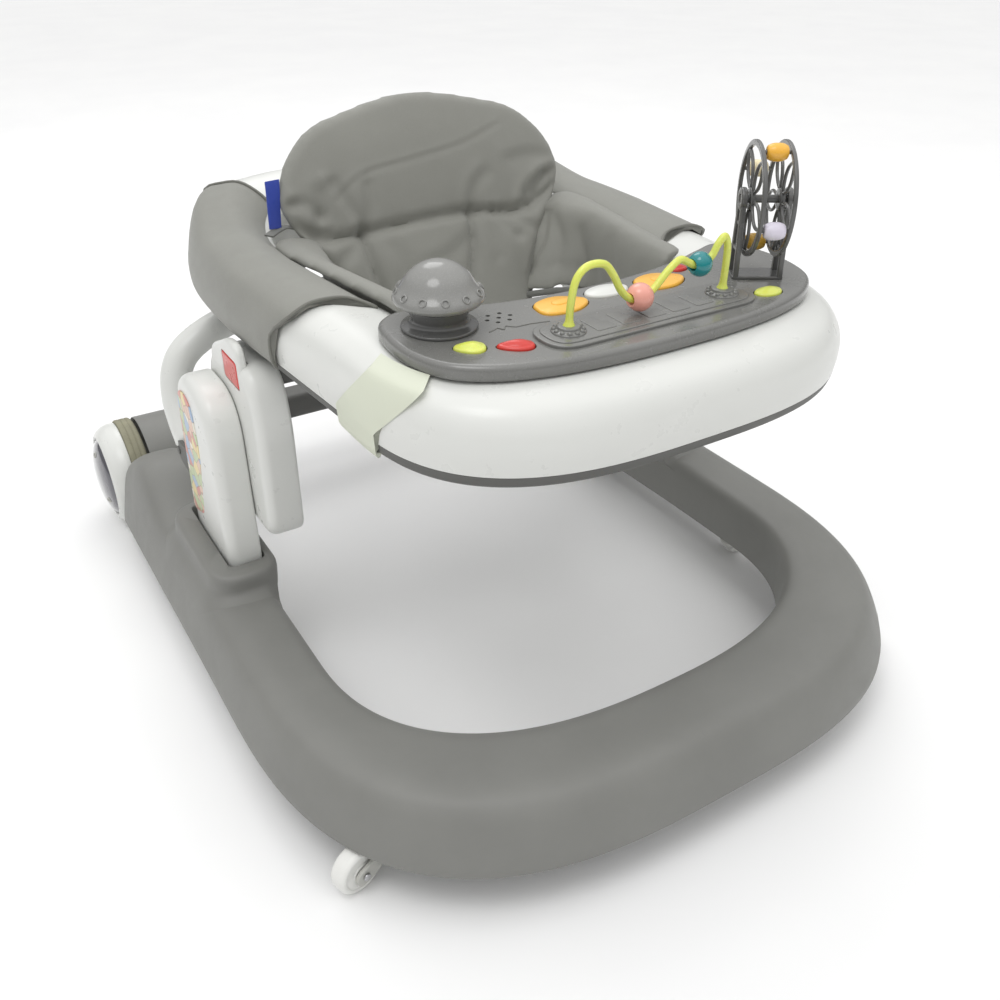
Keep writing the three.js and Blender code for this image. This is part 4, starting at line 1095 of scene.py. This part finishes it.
def cover_ring(s, lift, span):
    """One station of the padded cover; lift swells it between its bound ends, span slants its front end."""
    def at(u, z, out=0.0):
        return skin(slanted(s, u, span), u, z, out)

    top, lip = levels_at(s)
    outside = [at(0, LOW - 2, 2), at(0, LOW + 3, 5 + lift), at(0, LOW + 14, 6.5 + lift),
               at(0.02, LOW + 28, 6 + lift), at(0.25, top - 3.5, 4.6 + 0.5 * lift),
               at(0.6, top + 3.2 + 0.4 * lift, 1), at(1, top + 5 + 0.3 * lift),
               at(1.45, lerp(top, lip, 0.36) + 4.8), at(1.74, lerp(top, lip, 0.72) + 2.6),
               at(1.82, lerp(top, lip, 0.82) + 1.0)]
    inside = [at(1.55, lerp(top, lip, 0.45) + 0.9), at(1, top + 1), at(0.6, top - 0.5, 1),
              at(0.25, top - 7, 2), at(0.02, LOW + 28.5, 2), at(0, LOW + 14, 3.2), at(0, LOW - 2, 1.2)]
    return np.vstack([spline(outside, 6), inside])


COVER_SPAN = {"right": (0.5, 0.8), "left": (1.5, 1.2)}
FRONT_EDGE = [(0.0, 0.012), (0.25, -0.015), (1.0, -0.025), (1.5, -0.045), (2.0, -0.1)]


def slanted(s, u, span):
    """The station shifted so that the cover's front edge runs obliquely over the ring."""
    front, rear = span
    share = np.clip((s - rear) / (front - rear), 0, 1)
    shift = np.interp(u, *zip(*FRONT_EDGE)) * smooth(0.25, 1.0, share)
    return s + shift * (1 if front < 1 else -1)


def cover(span):
    """A padded cover, drawn in at both ends."""
    rings = []
    for s in np.linspace(*span, 60):
        edge = min(abs(s - span[0]), abs(s - span[1])) / 0.02
        ring = cover_ring(s, 1.2 * min(edge, 1.0), span)
        if edge < 1:
            centre = cover_ring(s, 0, span)[-COVER_INSIDE:].mean(axis=0)
            ring = lerp(ring, lerp(ring, centre, 0.015), (1 - edge) ** 2)
        rings.append(ring)
    return loft(rings)


def cover_seam(s, span):
    """Bound edge round the end of a cover."""
    ring = cover_ring(s, 0, span)[:COVER_OUTSIDE]
    return tube(ring[::2], 1.5, 10)


piece("ring_housing", ring_band(shell_ring, 220), "seat_ring", WHITE, ["ring_shell"], sharp=55)
piece("ring_underside", ring_band(trim_ring, 200), "seat_ring", TRIM_GREY_AND_PAINTED_SHADE, ["ring_trim"], sharp=55)
piece("ring_strap", ring_collar(), "seat_ring", CREAM, ["ring_collar"], sharp=50)
for name, span in COVER_SPAN.items():
    node = f"ring_cover_{name}"
    body = piece(f"side_cover_{name}", cover(span), "seat_ring", CLOTH, [node], sharp=55)
    seams = merge(*[cover_seam(s, span) for s in span])
    piece(f"cover_binding_{name}", seams, "seat_ring", CLOTH_DARK)
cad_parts["battery_box"].material_slots[0].material = TRIM_GREY_AND_PAINTED_SHADE[1]


# ---------- tray ----------
TRAY_TOP = 389
KEY_TOP = 391
WIRE_Y = 148
# Straight-sided cutters for the wells and holes in the board.
DRILL = {"r0": 0.01, "r1": 0.01, "flat": True, "steps": 1}
SPEAKER = (-93, 199)
TRAY_HALF = [[58, 111], [104, 118], [140, 131], [163, 150], [174, 178], [175, 212], [168, 238],
             [150, 249], [128, 243], [92, 231], [45, 222]]
TRAY_OUTLINE = [[0, 109], *TRAY_HALF, [0, 220], *other_half(TRAY_HALF)]
DOME = (-136, 207)


def blossom(x, y, r):
    """A soft bean with three faint lobes."""
    t = np.linspace(0, 2 * pi, 60, endpoint=False)
    reach = r * (1 + 0.05 * np.cos(3 * t + 0.6) + 0.025 * np.cos(5 * t))
    return np.stack([x + reach * 1.2 * np.cos(t), y + reach * 0.84 * np.sin(t)], axis=1)


def drop(x, y, ra, rb, turn):
    """An oval drawn out to a soft point on one side."""
    t = np.linspace(0, 2 * pi, 56, endpoint=False)
    a = ra * np.cos(t) * (1 + 0.12 * np.cos(t))
    b = rb * np.sin(t) * (1 - 0.16 * np.cos(t))
    c, s = cos(turn), sin(turn)
    return np.stack([x + a * c - b * s, y + a * s + b * c], axis=1)


# Outline, look and crown height of each button.
BUTTONS = {
    "lime_left": (drop(-136, 163, 11, 8.5, 2.6), LIME, 2.6),
    "red": (drop(-108, 150, 13, 8, 2.7), RED, 2.6),
    "orange_left": (blossom(-43, 195, 18), ORANGE, 1.6),
    "white": (oval(3, 201, 19, 11), WHITE, 1.8),
    "orange_right": (blossom(50, 197, 18), ORANGE, 1.6),
    "small_red": (oval(82, 212, 8, 6), RED, 1.6),
    "lime_right": (oval(106, 137, 12, 8), LIME, 2.2),
}


def tray():
    """The board with a well for each button and the speaker's holes."""
    board = dense(spline(TRAY_OUTLINE, 8, closed=True), 3)
    body = plate(board, 378, TRAY_TOP, 2, 4.5, flat=True, steps=8)
    outlines = [outline if area(outline) > 0 else outline[::-1] for outline, _, _ in BUTTONS.values()]
    wells = [plate(inset(outline, -0.7), 384, 400, **DRILL) for outline in outlines]
    x, y = SPEAKER
    spots = [(x, y)] + [(x + 9.5 * cos(pi / 3 * k), y + 8 * sin(pi / 3 * k)) for k in range(6)]
    drills = [plate(oval(*spot, 1.7, 1.7, count=16), 381, 400, **DRILL) for spot in spots]
    return carve(body, *wells, *drills)


def panel_key(x):
    """One key of the panel, with a notch in its upper right corner."""
    outline = rounded([[x - 8, 137, 1.5], [x + 8, 137, 1.5], [x + 8, 149, 1.5], [x + 3.5, 149, 1],
                       [x + 3.5, 159, 1.5], [x - 8, 159, 1.5]], 4)
    return plate(outline, KEY_TOP, 392.55, 0.1, 0.45, flat=True)


def wire_boss(x):
    """The round boss that holds an end of the wire, inside a circle of small pearls."""
    boss = [[0, 390, 0], [12.5, 390, 0.5], [12.5, 393.2, 1.5], [8.5, 394.2, 1.5], [8, 396.2, 1.2],
            [0, 396.4, 0]]
    turns = [pi / 6 * k for k in range(12)]
    pearls = [pearl(x + 10 * cos(a), WIRE_Y + 10 * sin(a), 393.4, 1.9) for a in turns]
    return merge(solid_turned(boss, 5, 48, ((x, WIRE_Y, 0), (0, 0, 1))), *pearls)


def key_panel():
    """The raised panel with five keys and the two bosses of the wire."""
    outline = dense(oblong(-92, 92, 126, 170, 24, 12), 4)
    foot = plate(outline, TRAY_TOP - 1, 391.2, 0.2, 0.9, flat=True)
    lid = plate(inset(outline, 4.5), 390, 392.1, 0.2, 0.8, flat=True)
    keys = [panel_key(-44 + 22 * i) for i in range(5)]
    return merge(foot, lid, *keys, *[wire_boss(x) for x in (-69, 69)])


def pearl(x, y, z, r):
    """A small ball."""
    profile = [[r * sin(a), -r * cos(a)] for a in np.linspace(0.02, pi - 0.02, 9)]
    return turned(profile, 14, ((x, y, z), (0, 0, 1)), closed=False)


def star_line():
    """The fine raised outline that runs from the dome's foot past the speaker."""
    route = [(-112, 180), (-104, 183), (-101, 178.5), (-97, 183.5), (-92, 178.5), (-80, 178), (-66, 175)]
    return tube([[x, y, TRAY_TOP + 0.1] for x, y in route], 0.55, 8)


# x and z along the wire.
WIRE = [(-69, 393), (-68, 412), (-64, 428), (-56, 434.5), (-42, 433.5), (-34, 425), (-26, 412),
        (-18, 405), (-9, 403), (1, 406.5), (16, 420), (25, 425), (33, 421.5), (40, 418.2), (48, 418),
        (55, 423), (60, 431), (65, 435), (68.5, 429), (69.5, 412), (69, 393)]


def bead_wire():
    """The bent wire, flared where it enters its bosses."""
    route = spline([[x, WIRE_Y, z] for x, z in WIRE], 8)
    flare = 2.7 + 2.6 * np.exp(-((route[:, 2] - 394) / 3.2) ** 2)
    return tube(route, flare, 20)


def bead(x, z, r, turn):
    hole = 5.0
    reach = sqrt(r * r - hole * hole)
    end = np.arcsin(reach / r)
    shell = [[r * cos(a), r * sin(a)] for a in np.linspace(-end, end, 16)]
    profile = shell + [[hole - 1.2, reach - 0.8], [hole - 1.4, 0], [hole - 1.2, -reach + 0.8]]
    a = radians(turn)
    return turned(profile, 44, ((x, WIRE_Y, z), (cos(a), 0, sin(a))))


def button_cap(outline, height):
    """A crowned button with a low moulded shoulder."""
    return plate(outline, 381.5, KEY_TOP, 0.6, 2.2, "z", 0, height, steps=7)


def centre_boss(x, y, z):
    """The low oval crown in the middle of an orange button."""
    return plate(oval(x, y, 8.5, 5.5, 0.2), z - 1.8, z + 0.5, 0.1, 1.4, "z", 0, 0.5)


piece("tray_board", tray(), "seat_ring", TRAY_GREY, ["toy_tray"], sharp=35)
piece("key_panel", merge(key_panel(), star_line()), "seat_ring", TRAY_GREY, sharp=35)
for name, (outline, finish, height) in BUTTONS.items():
    cap = button_cap(outline, height)
    if "orange" in name:
        cap = merge(cap, centre_boss(*outline.mean(axis=0), KEY_TOP + height))
    piece(f"press_{name}", cap, f"key_{name}", finish, [f"button_{name}"])
piece("bead_track", bead_wire(), "seat_ring", LIME, ["bead_wire"])
piece("bead_pink", bead(-9, 404.2, 10, 2), "wire_toy_pink", PINK, ["wire_bead_pink"])
piece("bead_teal", bead(44, 418.4, 9, 0), "wire_toy_teal", TEAL, ["wire_bead_teal"])


# ---------- spinning dome ----------
DOME_AXIS = ((*DOME, TRAY_TOP), (0, 0, 1))


def dome_toy():
    """The flecked dome with a row of small rings round its shoulder."""
    shape = [[0, 15.6, 0], [22.5, 15.6, 1], [29.5, 18.4, 3], [32.4, 21.6, 2], [31.2, 25, 3],
             [26.5, 30, 5], [21.5, 38, 8], [13, 44.2, 8], [6, 46.7, 5], [0, 47, 0]]
    profile = [[1.7, -1.2], [1.9, 0.55], [2.4, 0.85], [3.0, 0.5], [3.2, -1.2]]
    count, reach = 12, 29.3
    rings = []
    for k in range(count):
        a = 2 * pi * (k + 0.35) / count
        centre = (DOME[0] + reach * cos(a), DOME[1] + reach * sin(a), TRAY_TOP + 27.2)
        rings.append(turned(profile, 24, (centre, (cos(a), sin(a), 0.75))))
    return merge(solid_turned(shape, 6, 96, DOME_AXIS), *rings)


def dome_cup():
    """The waisted foot under the dome."""
    shape = [[0, 0.2, 0], [27, 0.2, 0.8], [27, 2.2, 1.5], [21, 4.0, 3], [19.5, 7, 3], [22, 15.2, 1],
             [0, 15.2, 0]]
    return solid_turned(shape, 5, 96, DOME_AXIS)


piece("dome_shell", dome_toy(), "dome", DOME_GREY, ["dome_toy"])
piece("dome_foot", dome_cup(), "seat_ring", DARK_TOY, ["dome_cup"])


# ---------- ferris wheel ----------
FERRIS = (124, 170, 448)
FERRIS_TURN = radians(-32)
FERRIS_AXLE = ((0, 0, 0), (1, 0, 0))
FERRIS_PITCH = 39


def at_ferris(geometry):
    """From the wheel's own axes (x along the axle) to its place on the tray."""
    verts, faces = geometry
    c, s = cos(FERRIS_TURN), sin(FERRIS_TURN)
    x, y, z = verts.T
    return np.stack([x * c - y * s, x * s + y * c, z], axis=1) + FERRIS, faces


def drum_place(k):
    """y and z of the k-th drum in the wheel's own axes."""
    a = radians(90 * k + 20)
    return FERRIS_PITCH * cos(a), FERRIS_PITCH * sin(a)


def annulus(r0, r1, x0, x1, fillet=0.8):
    """A flat ring round the axle."""
    return turned(oblong(r0, r1, x0, x1, fillet, 4), 80, FERRIS_AXLE)


def leaf_spoke(angle, x0):
    """A leaf-shaped loop from the hub to the rim."""
    t = np.linspace(0, 1, 14)
    width = 7.2 * np.sin(pi * t) ** 0.8
    z = lerp(7, FERRIS_PITCH, t)
    c, s = cos(angle), sin(angle)
    parts = []
    for y in (-width, width):
        path = np.stack([np.full(len(t), x0 + 1.5), y * c + z * s, z * c - y * s], axis=1)
        parts.append(tube(path, 1.35, 10))
    return merge(*parts)


def ferris_rotor():
    """Two spoked rims, the rods that carry the drums and the axle."""
    parts = []
    for x0 in (-12.5, 9.5):
        parts.append(annulus(37.6, 42, x0, x0 + 3))
        parts.append(annulus(2, 8.2, x0 - 0.4, x0 + 3.4, 1.0))
        parts += [leaf_spoke(2 * pi * (k + 0.5) / 5, x0) for k in range(5)]
    for k in range(4):
        y, z = drum_place(k)
        parts.append(tube([[-11, y, z], [0, y, z], [11, y, z]], 1.5, 12))
    axle = [[0, -18.6, 0], [3, -18.6, 1], [3, 18.6, 1], [0, 18.6, 0]]
    parts.append(solid_turned(axle, 3, 24, FERRIS_AXLE))
    return at_ferris(merge(*parts))


def ferris_stand():
    """Two tapered legs with a slot, each carrying the axle in a round eye."""
    foot = TRAY_TOP - FERRIS[2]
    parts = []
    for side in (-1, 1):
        x0, x1 = sorted((side * 15.0, side * 19.0))
        for flank in (-1, 1):
            strut = rounded([[flank * 11, foot + 0.3, 0.8], [flank * 6.2, foot + 0.3, 0.8],
                             [flank * 1.8, 2, 1], [flank * 6.6, 3, 2]], 4)
            parts.append(plate(strut, x0, x1, 0.7, 0.7, "x"))
        for z in (foot + 22, foot + 41):
            parts.append(plate(oblong(-8, 8, z - 1.6, z + 1.6, 1, 4), x0 + 0.4, x1 - 0.4, 0.6, 0.6, "x"))
        eye = [[3.4, x0 - 0.2, 0.5], [8.4, x0 - 0.2, 1.2], [8.4, x1 + 0.2, 1.2], [3.4, x1 + 0.2, 0.5]]
        parts.append(turned(rounded(eye, 4), 48, FERRIS_AXLE))
    parts.append(plate(oblong(-19.8, 19.8, -11, 11, 3, 5), foot + 0.2, foot + 2.2, 0.2, 0.8))
    return at_ferris(merge(*parts))


def ferris_bead(k):
    """One of the four drums between the rims."""
    profile = rounded([[1.9, -8, 0.5], [4.6, -7.6, 2], [6.5, -3.5, 3], [6.5, 3.5, 3], [4.6, 7.6, 2],
                       [1.9, 8, 0.5]], 5)
    return at_ferris(turned(profile, 40, ((0, *drum_place(k)), (1, 0, 0))))


piece("ferris_wheel", ferris_rotor(), "ferris", DARK_TOY, ["ferris_rotor"])
piece("ferris_legs", ferris_stand(), "seat_ring", DARK_TOY, ["ferris_stand"])
DRUMS = {"pale": PALE, "yellow": ORANGE, "lilac": LILAC, "ochre": OCHRE}
for k, (name, finish) in enumerate(DRUMS.items()):
    piece(f"ferris_drum_{name}", ferris_bead(k), f"ferris_cup_{name}", finish, [f"ferris_bead_{name}"])


# ---------- soft seat ----------
# The backrest leans by TILT; its outline, seams and creases are given across and up its slope.
TILT = radians(24)
PAD_ORIGIN = np.array([0, 462, 362])
PAD_AXES = np.array([[1, 0, 0], [0, sin(TILT), cos(TILT)], [0, -cos(TILT), sin(TILT)]])
PAD_HALF = [[84, -84, 30], [100, -40, 20], [130, 8, 26], [151, 42, 24], [141, 78, 40], [109, 112, 60]]
PAD_OUTLINE = [[-70, -130, 24], [70, -130, 24], *PAD_HALF, [0, 140, 120], *other_half(PAD_HALF)]
ACROSS = spline([(-146, 34), (-119, 14), (-78, 13), (-20, 16), (36, 16), (97, 11), (146, 34)], 6)
PAD_SEAMS = [ACROSS, spline([(-78, 13), (-74, -30), (-64, -70), (-58, -128)], 6),
             spline([(36, 16), (30, -20), (20, -60), (16, -128)], 6)]
# Creases of the backrest as (points, depth, width).
PAD_CREASES = [
    ([(-78, 16), (-84, 32), (-96, 58)], 3.2, 6), ([(-74, 17), (-66, 34), (-64, 52)], 1.6, 7),
    ([(-144, 46), (-128, 46), (-114, 34)], 4.5, 6), ([(-150, 34), (-132, 26), (-112, 18)], 3.0, 5),
    ([(-120, 18), (-112, 30), (-108, 52)], 2.0, 8), ([(36, 19), (44, 36), (58, 48)], 1.8, 7),
    ([(97, 15), (104, 28), (124, 40)], 3.0, 6), ([(144, 44), (128, 38), (112, 24)], 4.2, 6),
    ([(142, 54), (118, 60), (92, 58)], 1.8, 8), ([(60, 12), (66, 2), (82, -14)], 3.0, 6),
    ([(72, 12), (88, 0), (104, -10)], 2.4, 6), ([(44, 10), (52, -8), (56, -30)], 1.8, 7),
    ([(-68, 8), (-50, -10), (-42, -34)], 1.6, 9), ([(-84, 6), (-104, -10), (-112, -22)], 2.2, 7),
    ([(24, -10), (4, -20), (-16, -24)], 1.4, 8), ([(-98, -30), (-84, -44), (-78, -64)], 2.0, 7),
    ([(118, -6), (104, -26), (92, -52)], 2.6, 6),
    ([(-96, 44), (-68, 62), (-14, 70), (40, 78), (84, 92)], 0.7, 3),
]
# Middle and radius of each puffed field.
PAD_PUFFS = [(-118, -22, 36), (-28, -24, 52), (80, -24, 36), (-4, 70, 110)]


def from_pad(points):
    """From the backrest's own axes (across, up the slope, towards the child) to the walker's."""
    return PAD_ORIGIN + np.asarray(points, dtype=float) @ PAD_AXES


def line_distance(points, route):
    """Distance from each point to a polyline, both as rows of numbers."""
    best = np.full(len(points), 1e9)
    for a, b in zip(route[:-1], route[1:]):
        a, b = np.asarray(a, dtype=float), np.asarray(b, dtype=float)
        along = np.clip((points - a) @ (b - a) / max((b - a) @ (b - a), 1e-9), 0, 1)
        best = np.minimum(best, np.linalg.norm(points - a - along[:, None] * (b - a), axis=1))
    return best


def groove(points, route, depth, width):
    """Depth of a sewn or creased line at each point, fading out where the line ends."""
    distance = line_distance(points, route)
    return depth * np.exp(-(distance / width) ** 2)


def held(points, line, grip, fade):
    """How firmly each point is held by a seam: fully beside it, and not at all a little way off."""
    return np.clip(grip - line_distance(points, line) / fade, 0, 1)


VOXEL = 0.005
PRESSURE = 4.0
LAST_FRAME = 20


def swell(verts, faces, pinned, cap=7.0):
    """The closed pad blown up as cloth under pressure, held along its seams; millimetres in and out."""
    obj = helper_object(verts, faces)
    grid = obj.modifiers.new("grid", "REMESH")
    grid.mode = "VOXEL"
    grid.voxel_size = VOXEL
    start, _ = applied(obj)
    group = obj.vertex_groups.new(name="seams")
    for i, weight in enumerate(pinned(start * 1000)):
        group.add([i], float(weight), "REPLACE")
    cloth = obj.modifiers.new("cloth", "CLOTH")
    settings = cloth.settings
    settings.quality = 6
    settings.mass = 0.25
    settings.tension_stiffness = 20
    settings.compression_stiffness = 20
    settings.bending_stiffness = 4.0
    settings.use_pressure = True
    settings.uniform_pressure_force = PRESSURE
    settings.vertex_group_mass = "seams"
    settings.effector_weights.gravity = 0.0
    for frame_number in range(1, LAST_FRAME + 1):
        bpy.context.scene.frame_set(frame_number)
    moved, _ = applied(obj)
    bpy.context.scene.frame_set(1)
    step = moved - start
    length = np.linalg.norm(step, axis=1)[:, None]
    capped = start + step * np.minimum(1, cap / 1000 / np.maximum(length, 1e-9))
    obj.data.vertices.foreach_set("co", capped.ravel())
    return finished(obj)


def finished(obj):
    """Relaxed and once subdivided, in millimetres; the helper object is removed."""
    relax = obj.modifiers.new("relax", "SMOOTH")
    relax.factor = 0.5
    relax.iterations = 5
    finer = obj.modifiers.new("finer", "SUBSURF")
    finer.levels = finer.render_levels = 1
    co, faces = applied(obj)
    bpy.data.objects.remove(obj)
    return co * 1000, faces


def back_pad():
    """The backrest: blown up between its seams, then sewn in and creased."""
    outline = dense(rounded(PAD_OUTLINE, 8), 6)
    verts, faces = plate(inset(outline, 1.5), -9, 8, 8, 7, "z", 0, 3, steps=6)
    rim = np.vstack([outline, outline[:1]])

    def pinned(p):
        flat = p[:, :2]
        holds = [held(flat, rim[::3], 1.1, 7) * 0.9] + [held(flat, seam, 1.4, 5) for seam in PAD_SEAMS]
        return np.max(holds, axis=0)

    verts, faces = swell(verts, faces, pinned)
    flat, height = verts[:, :2], verts[:, 2]
    front = smooth(-4, 4, height)
    inside = smooth(0, 12, line_distance(flat, rim[::2]))
    rise = sum(3.0 * np.exp(-(((flat - [a, b]) / [r, 0.7 * r]) ** 2).sum(axis=1)) for a, b, r in PAD_PUFFS)
    for seam in PAD_SEAMS:
        rise = rise - groove(flat, seam, 5.0, 5.5) - groove(flat, seam, 1.6, 1.3)
    for route, depth, width in PAD_CREASES:
        curve = spline(route, 5)
        welt = groove(flat + [width * 1.2, -width], curve, 0.5 * depth, width)
        rise = rise - groove(flat, curve, depth, width) + welt
    wave = np.sin(flat[:, 0] * 0.21 + 1.3 * np.sin(flat[:, 1] * 0.05))
    wave = wave * np.exp(-(line_distance(flat, ACROSS) / 14) ** 2)
    verts[:, 2] = height + front * inside * (rise + 0.35 * wave)
    verts[:, 2] += 5 * (verts[:, 0] / 150) ** 2
    return from_pad(verts), faces


def lip(y):
    """Half width of the ring's inner lip at this y."""
    s = np.linspace(0.15, 0.85, 400)
    rim = np.array([outline_at(INNER, v) for v in s])
    return np.interp(y, rim[:, 1], rim[:, 0])


WING_FRONT = 262
WING_INWARDS = 13
# Distance inwards from the ring's lip and height, over the lip and down to the leg hole.
WING_PATH = [(-9, 376), (-3, 379), (5, 377.5), (10.5, 368), (12.5, 350), (WING_INWARDS, 330)]
# Creases of the side panel as (points in y and z, depth, width).
WING_CREASES = [([(452, 368), (440, 350), (436, 318)], 4.0, 5),
                ([(446, 372), (424, 352), (416, 330)], 2.6, 6),
                ([(404, 360), (392, 338), (388, 316)], 1.6, 8),
                ([(436, 322), (404, 326), (372, 332)], 1.6, 7),
                ([(352, 366), (340, 344), (338, 320)], 1.2, 9)]


def wing_foot(t):
    """Height of the bound edge over the leg hole, from the tray (0) to the backrest (1)."""
    return np.interp(t, [0, 0.2, 0.5, 0.8, 1], [338, 314, 307, 306, 296])


def wing_point(t, d, z):
    """A point of the side panel: t from the tray to the backrest's edge, d inwards from the ring's lip."""
    t, d, z = np.broadcast_arrays(t, d, z)
    y = lerp(WING_FRONT, 467 + (z - 362) * 0.445, t)
    pad_half = np.interp((z - 362) / cos(TILT), [-84, -40, 8, 42], [84, 100, 130, 151])
    tucked = lerp(lip(y) - d, pad_half - 9, smooth(0, 9, d))
    return np.stack([lerp(lip(y) - d, tucked, smooth(0.6, 0.96, t)), y, z], axis=-1)


def wing():
    """Padded side of the seat, rolled over the ring's lip and sewn to the backrest behind."""
    rings = []
    for t in np.linspace(0, 1, 44):
        route = spline(WING_PATH + [(WING_INWARDS, wing_foot(t))], 6)
        tangent = np.gradient(route, axis=0)
        tangent /= np.linalg.norm(tangent, axis=1)[:, None]
        normal = np.stack([-tangent[:, 1], tangent[:, 0]], axis=1)
        share = np.linspace(0, 1, len(route))
        end = np.clip(min(t, 1 - t) / 0.05, 0.5, 1)
        half = (3.0 + 2.4 * np.sin(pi * share) ** 0.7) * end ** 0.5
        middle = wing_point(t, route[:, 0], route[:, 1])
        swing = np.column_stack([-normal[:, 0], np.zeros(len(route)), normal[:, 1]]) * half[:, None]
        rings.append(np.vstack([middle + swing, (middle - swing)[::-1]]))
    verts, faces = loft(rings)
    stations = np.linspace(0, 1, 20)
    seam = wing_point(stations, -6.0, 377.0)
    hem = wing_point(stations, WING_INWARDS, wing_foot(stations))
    joint = wing_point(1.0, WING_INWARDS, np.linspace(300, 370, 8))

    def pinned(p):
        return np.max([held(p, line, 1.5, 5) for line in (seam, hem, joint)], axis=0)

    verts, faces = swell(verts, faces, pinned, cap=4.0)
    across = verts[:, 1:]
    inner = smooth(4, 10, lip(verts[:, 1]) - verts[:, 0])
    for route, depth, width in WING_CREASES:
        verts[:, 0] += inner * groove(across, spline(route, 5), depth, width)
    return verts, faces


def seat_pan():
    """The pad under the child, crowned between its bound edges and rising behind."""
    floor = dense(rounded([[-38, 240, 12], [38, 240, 12], [42, 318, 34], [98, 345, 34], [88, 412, 20],
                           [-88, 412, 20], [-98, 345, 34], [-42, 318, 34]], 8), 6)
    rim = np.vstack([floor, floor[:1]])
    verts, faces = plate(inset(floor, 1), 214, 229, 6, 6, "z", 0, 1.5)
    verts, faces = swell(verts, faces, lambda p: held(p[:, :2], rim[::3], 1.4, 6), cap=2.5)
    flat = verts[:, :2]
    top = smooth(220, 226, verts[:, 2])
    dip = groove(flat, [(-40, 326), (40, 326)], 3, 5) + groove(flat, [(0, 330), (0, 400)], 1.5, 8)
    verts[:, 2] += 16 * smooth(372, 412, verts[:, 1]) - top * dip
    return verts, faces


def crotch_riser():
    """The upright panel between the legs, under the tray."""
    panel = dense(rounded([[-34, 222, 5], [34, 222, 5], [34, 352, 8], [-34, 352, 8]], 6), 5)
    rim = np.vstack([panel, panel[:1]])
    verts, faces = plate(inset(panel, 1), 241.5, 251.5, 4, 4, "y")
    return swell(verts, faces, lambda p: held(p[:, [0, 2]], rim[::3], 1.4, 6), cap=1.5)


def seat_bindings():
    """Woven tape round the leg holes and the lower sides of the backrest."""
    edge = rounded(PAD_OUTLINE, 8)
    edge = edge[(edge[:, 1] < 0) & (edge[:, 1] > -128) & (edge[:, 0] > 0)]
    edge = edge[np.argsort(edge[:, 1])]
    along_pad = from_pad(np.column_stack([edge - [1.0, 0], np.full(len(edge), 1.0)]))
    stations = np.linspace(0.02, 0.98, 40)
    hem = wing_point(stations, WING_INWARDS, wing_foot(stations) - 0.5)
    return merge(tube(along_pad, 3.0, 10), tube(hem, 3.2, 10))


def side_tag():
    """A folded woven tag sewn into the backrest's left edge."""
    outline = dense(oblong(-6, 6, -20, 20, 0.6, 2), 3)
    verts, faces = plate(outline, -0.9, 0.9, 0.3, 0.3, "z", steps=2)
    bend = 1.6 * np.sin(verts[:, 1] * 0.09) + 0.35 * verts[:, 0] * np.sin(verts[:, 1] * 0.05)
    verts[:, 0] += 0.16 * verts[:, 1]
    verts[:, 2] += bend
    return from_pad(verts + [-151, 50, 4]), faces


def side_strap():
    """The short strap that ties the backrest to the ring."""
    route = spline([(-136, 474, 388), (-145, 474, 390), (-154, 471, 389), (-163, 466, 387)], 8)
    shape = oblong(-5, 5, -0.8, 0.8, 0.6, 2)
    rings = []
    for i, p in enumerate(route):
        ahead = route[min(i + 1, len(route) - 1)] - route[max(i - 1, 0)]
        ahead /= np.linalg.norm(ahead)
        wide = np.cross(ahead, [0, 0, 1.0])
        wide /= np.linalg.norm(wide)
        thick = np.cross(wide, ahead)
        rings.append(p + shape[:, :1] * wide + shape[:, 1:] * thick)
    return loft(rings)


seat_back = piece("backrest_pad", back_pad(), "seat_ring", CLOTH, ["seat_back"], sharp=80)
side = wing()
for name, sign in SIDES.items():
    node = f"side_wing_{name}"
    panel = piece(f"side_panel_{name}", mirrored(side, sign), "seat_ring", CLOTH, [node], sharp=80)
    piece(f"leg_binding_{name}", mirrored(seat_bindings(), sign), "seat_ring", TAPE)
pan = piece("seat_cushion", seat_pan(), "seat_ring", CLOTH, ["seat_pan"], sharp=80)
riser = piece("crotch_panel", crotch_riser(), "seat_ring", CLOTH_DARK, sharp=80)
piece("side_tag", side_tag(), "seat_ring", TAG_BLUE)
piece("tie_strap", side_strap(), "seat_ring", TAPE)
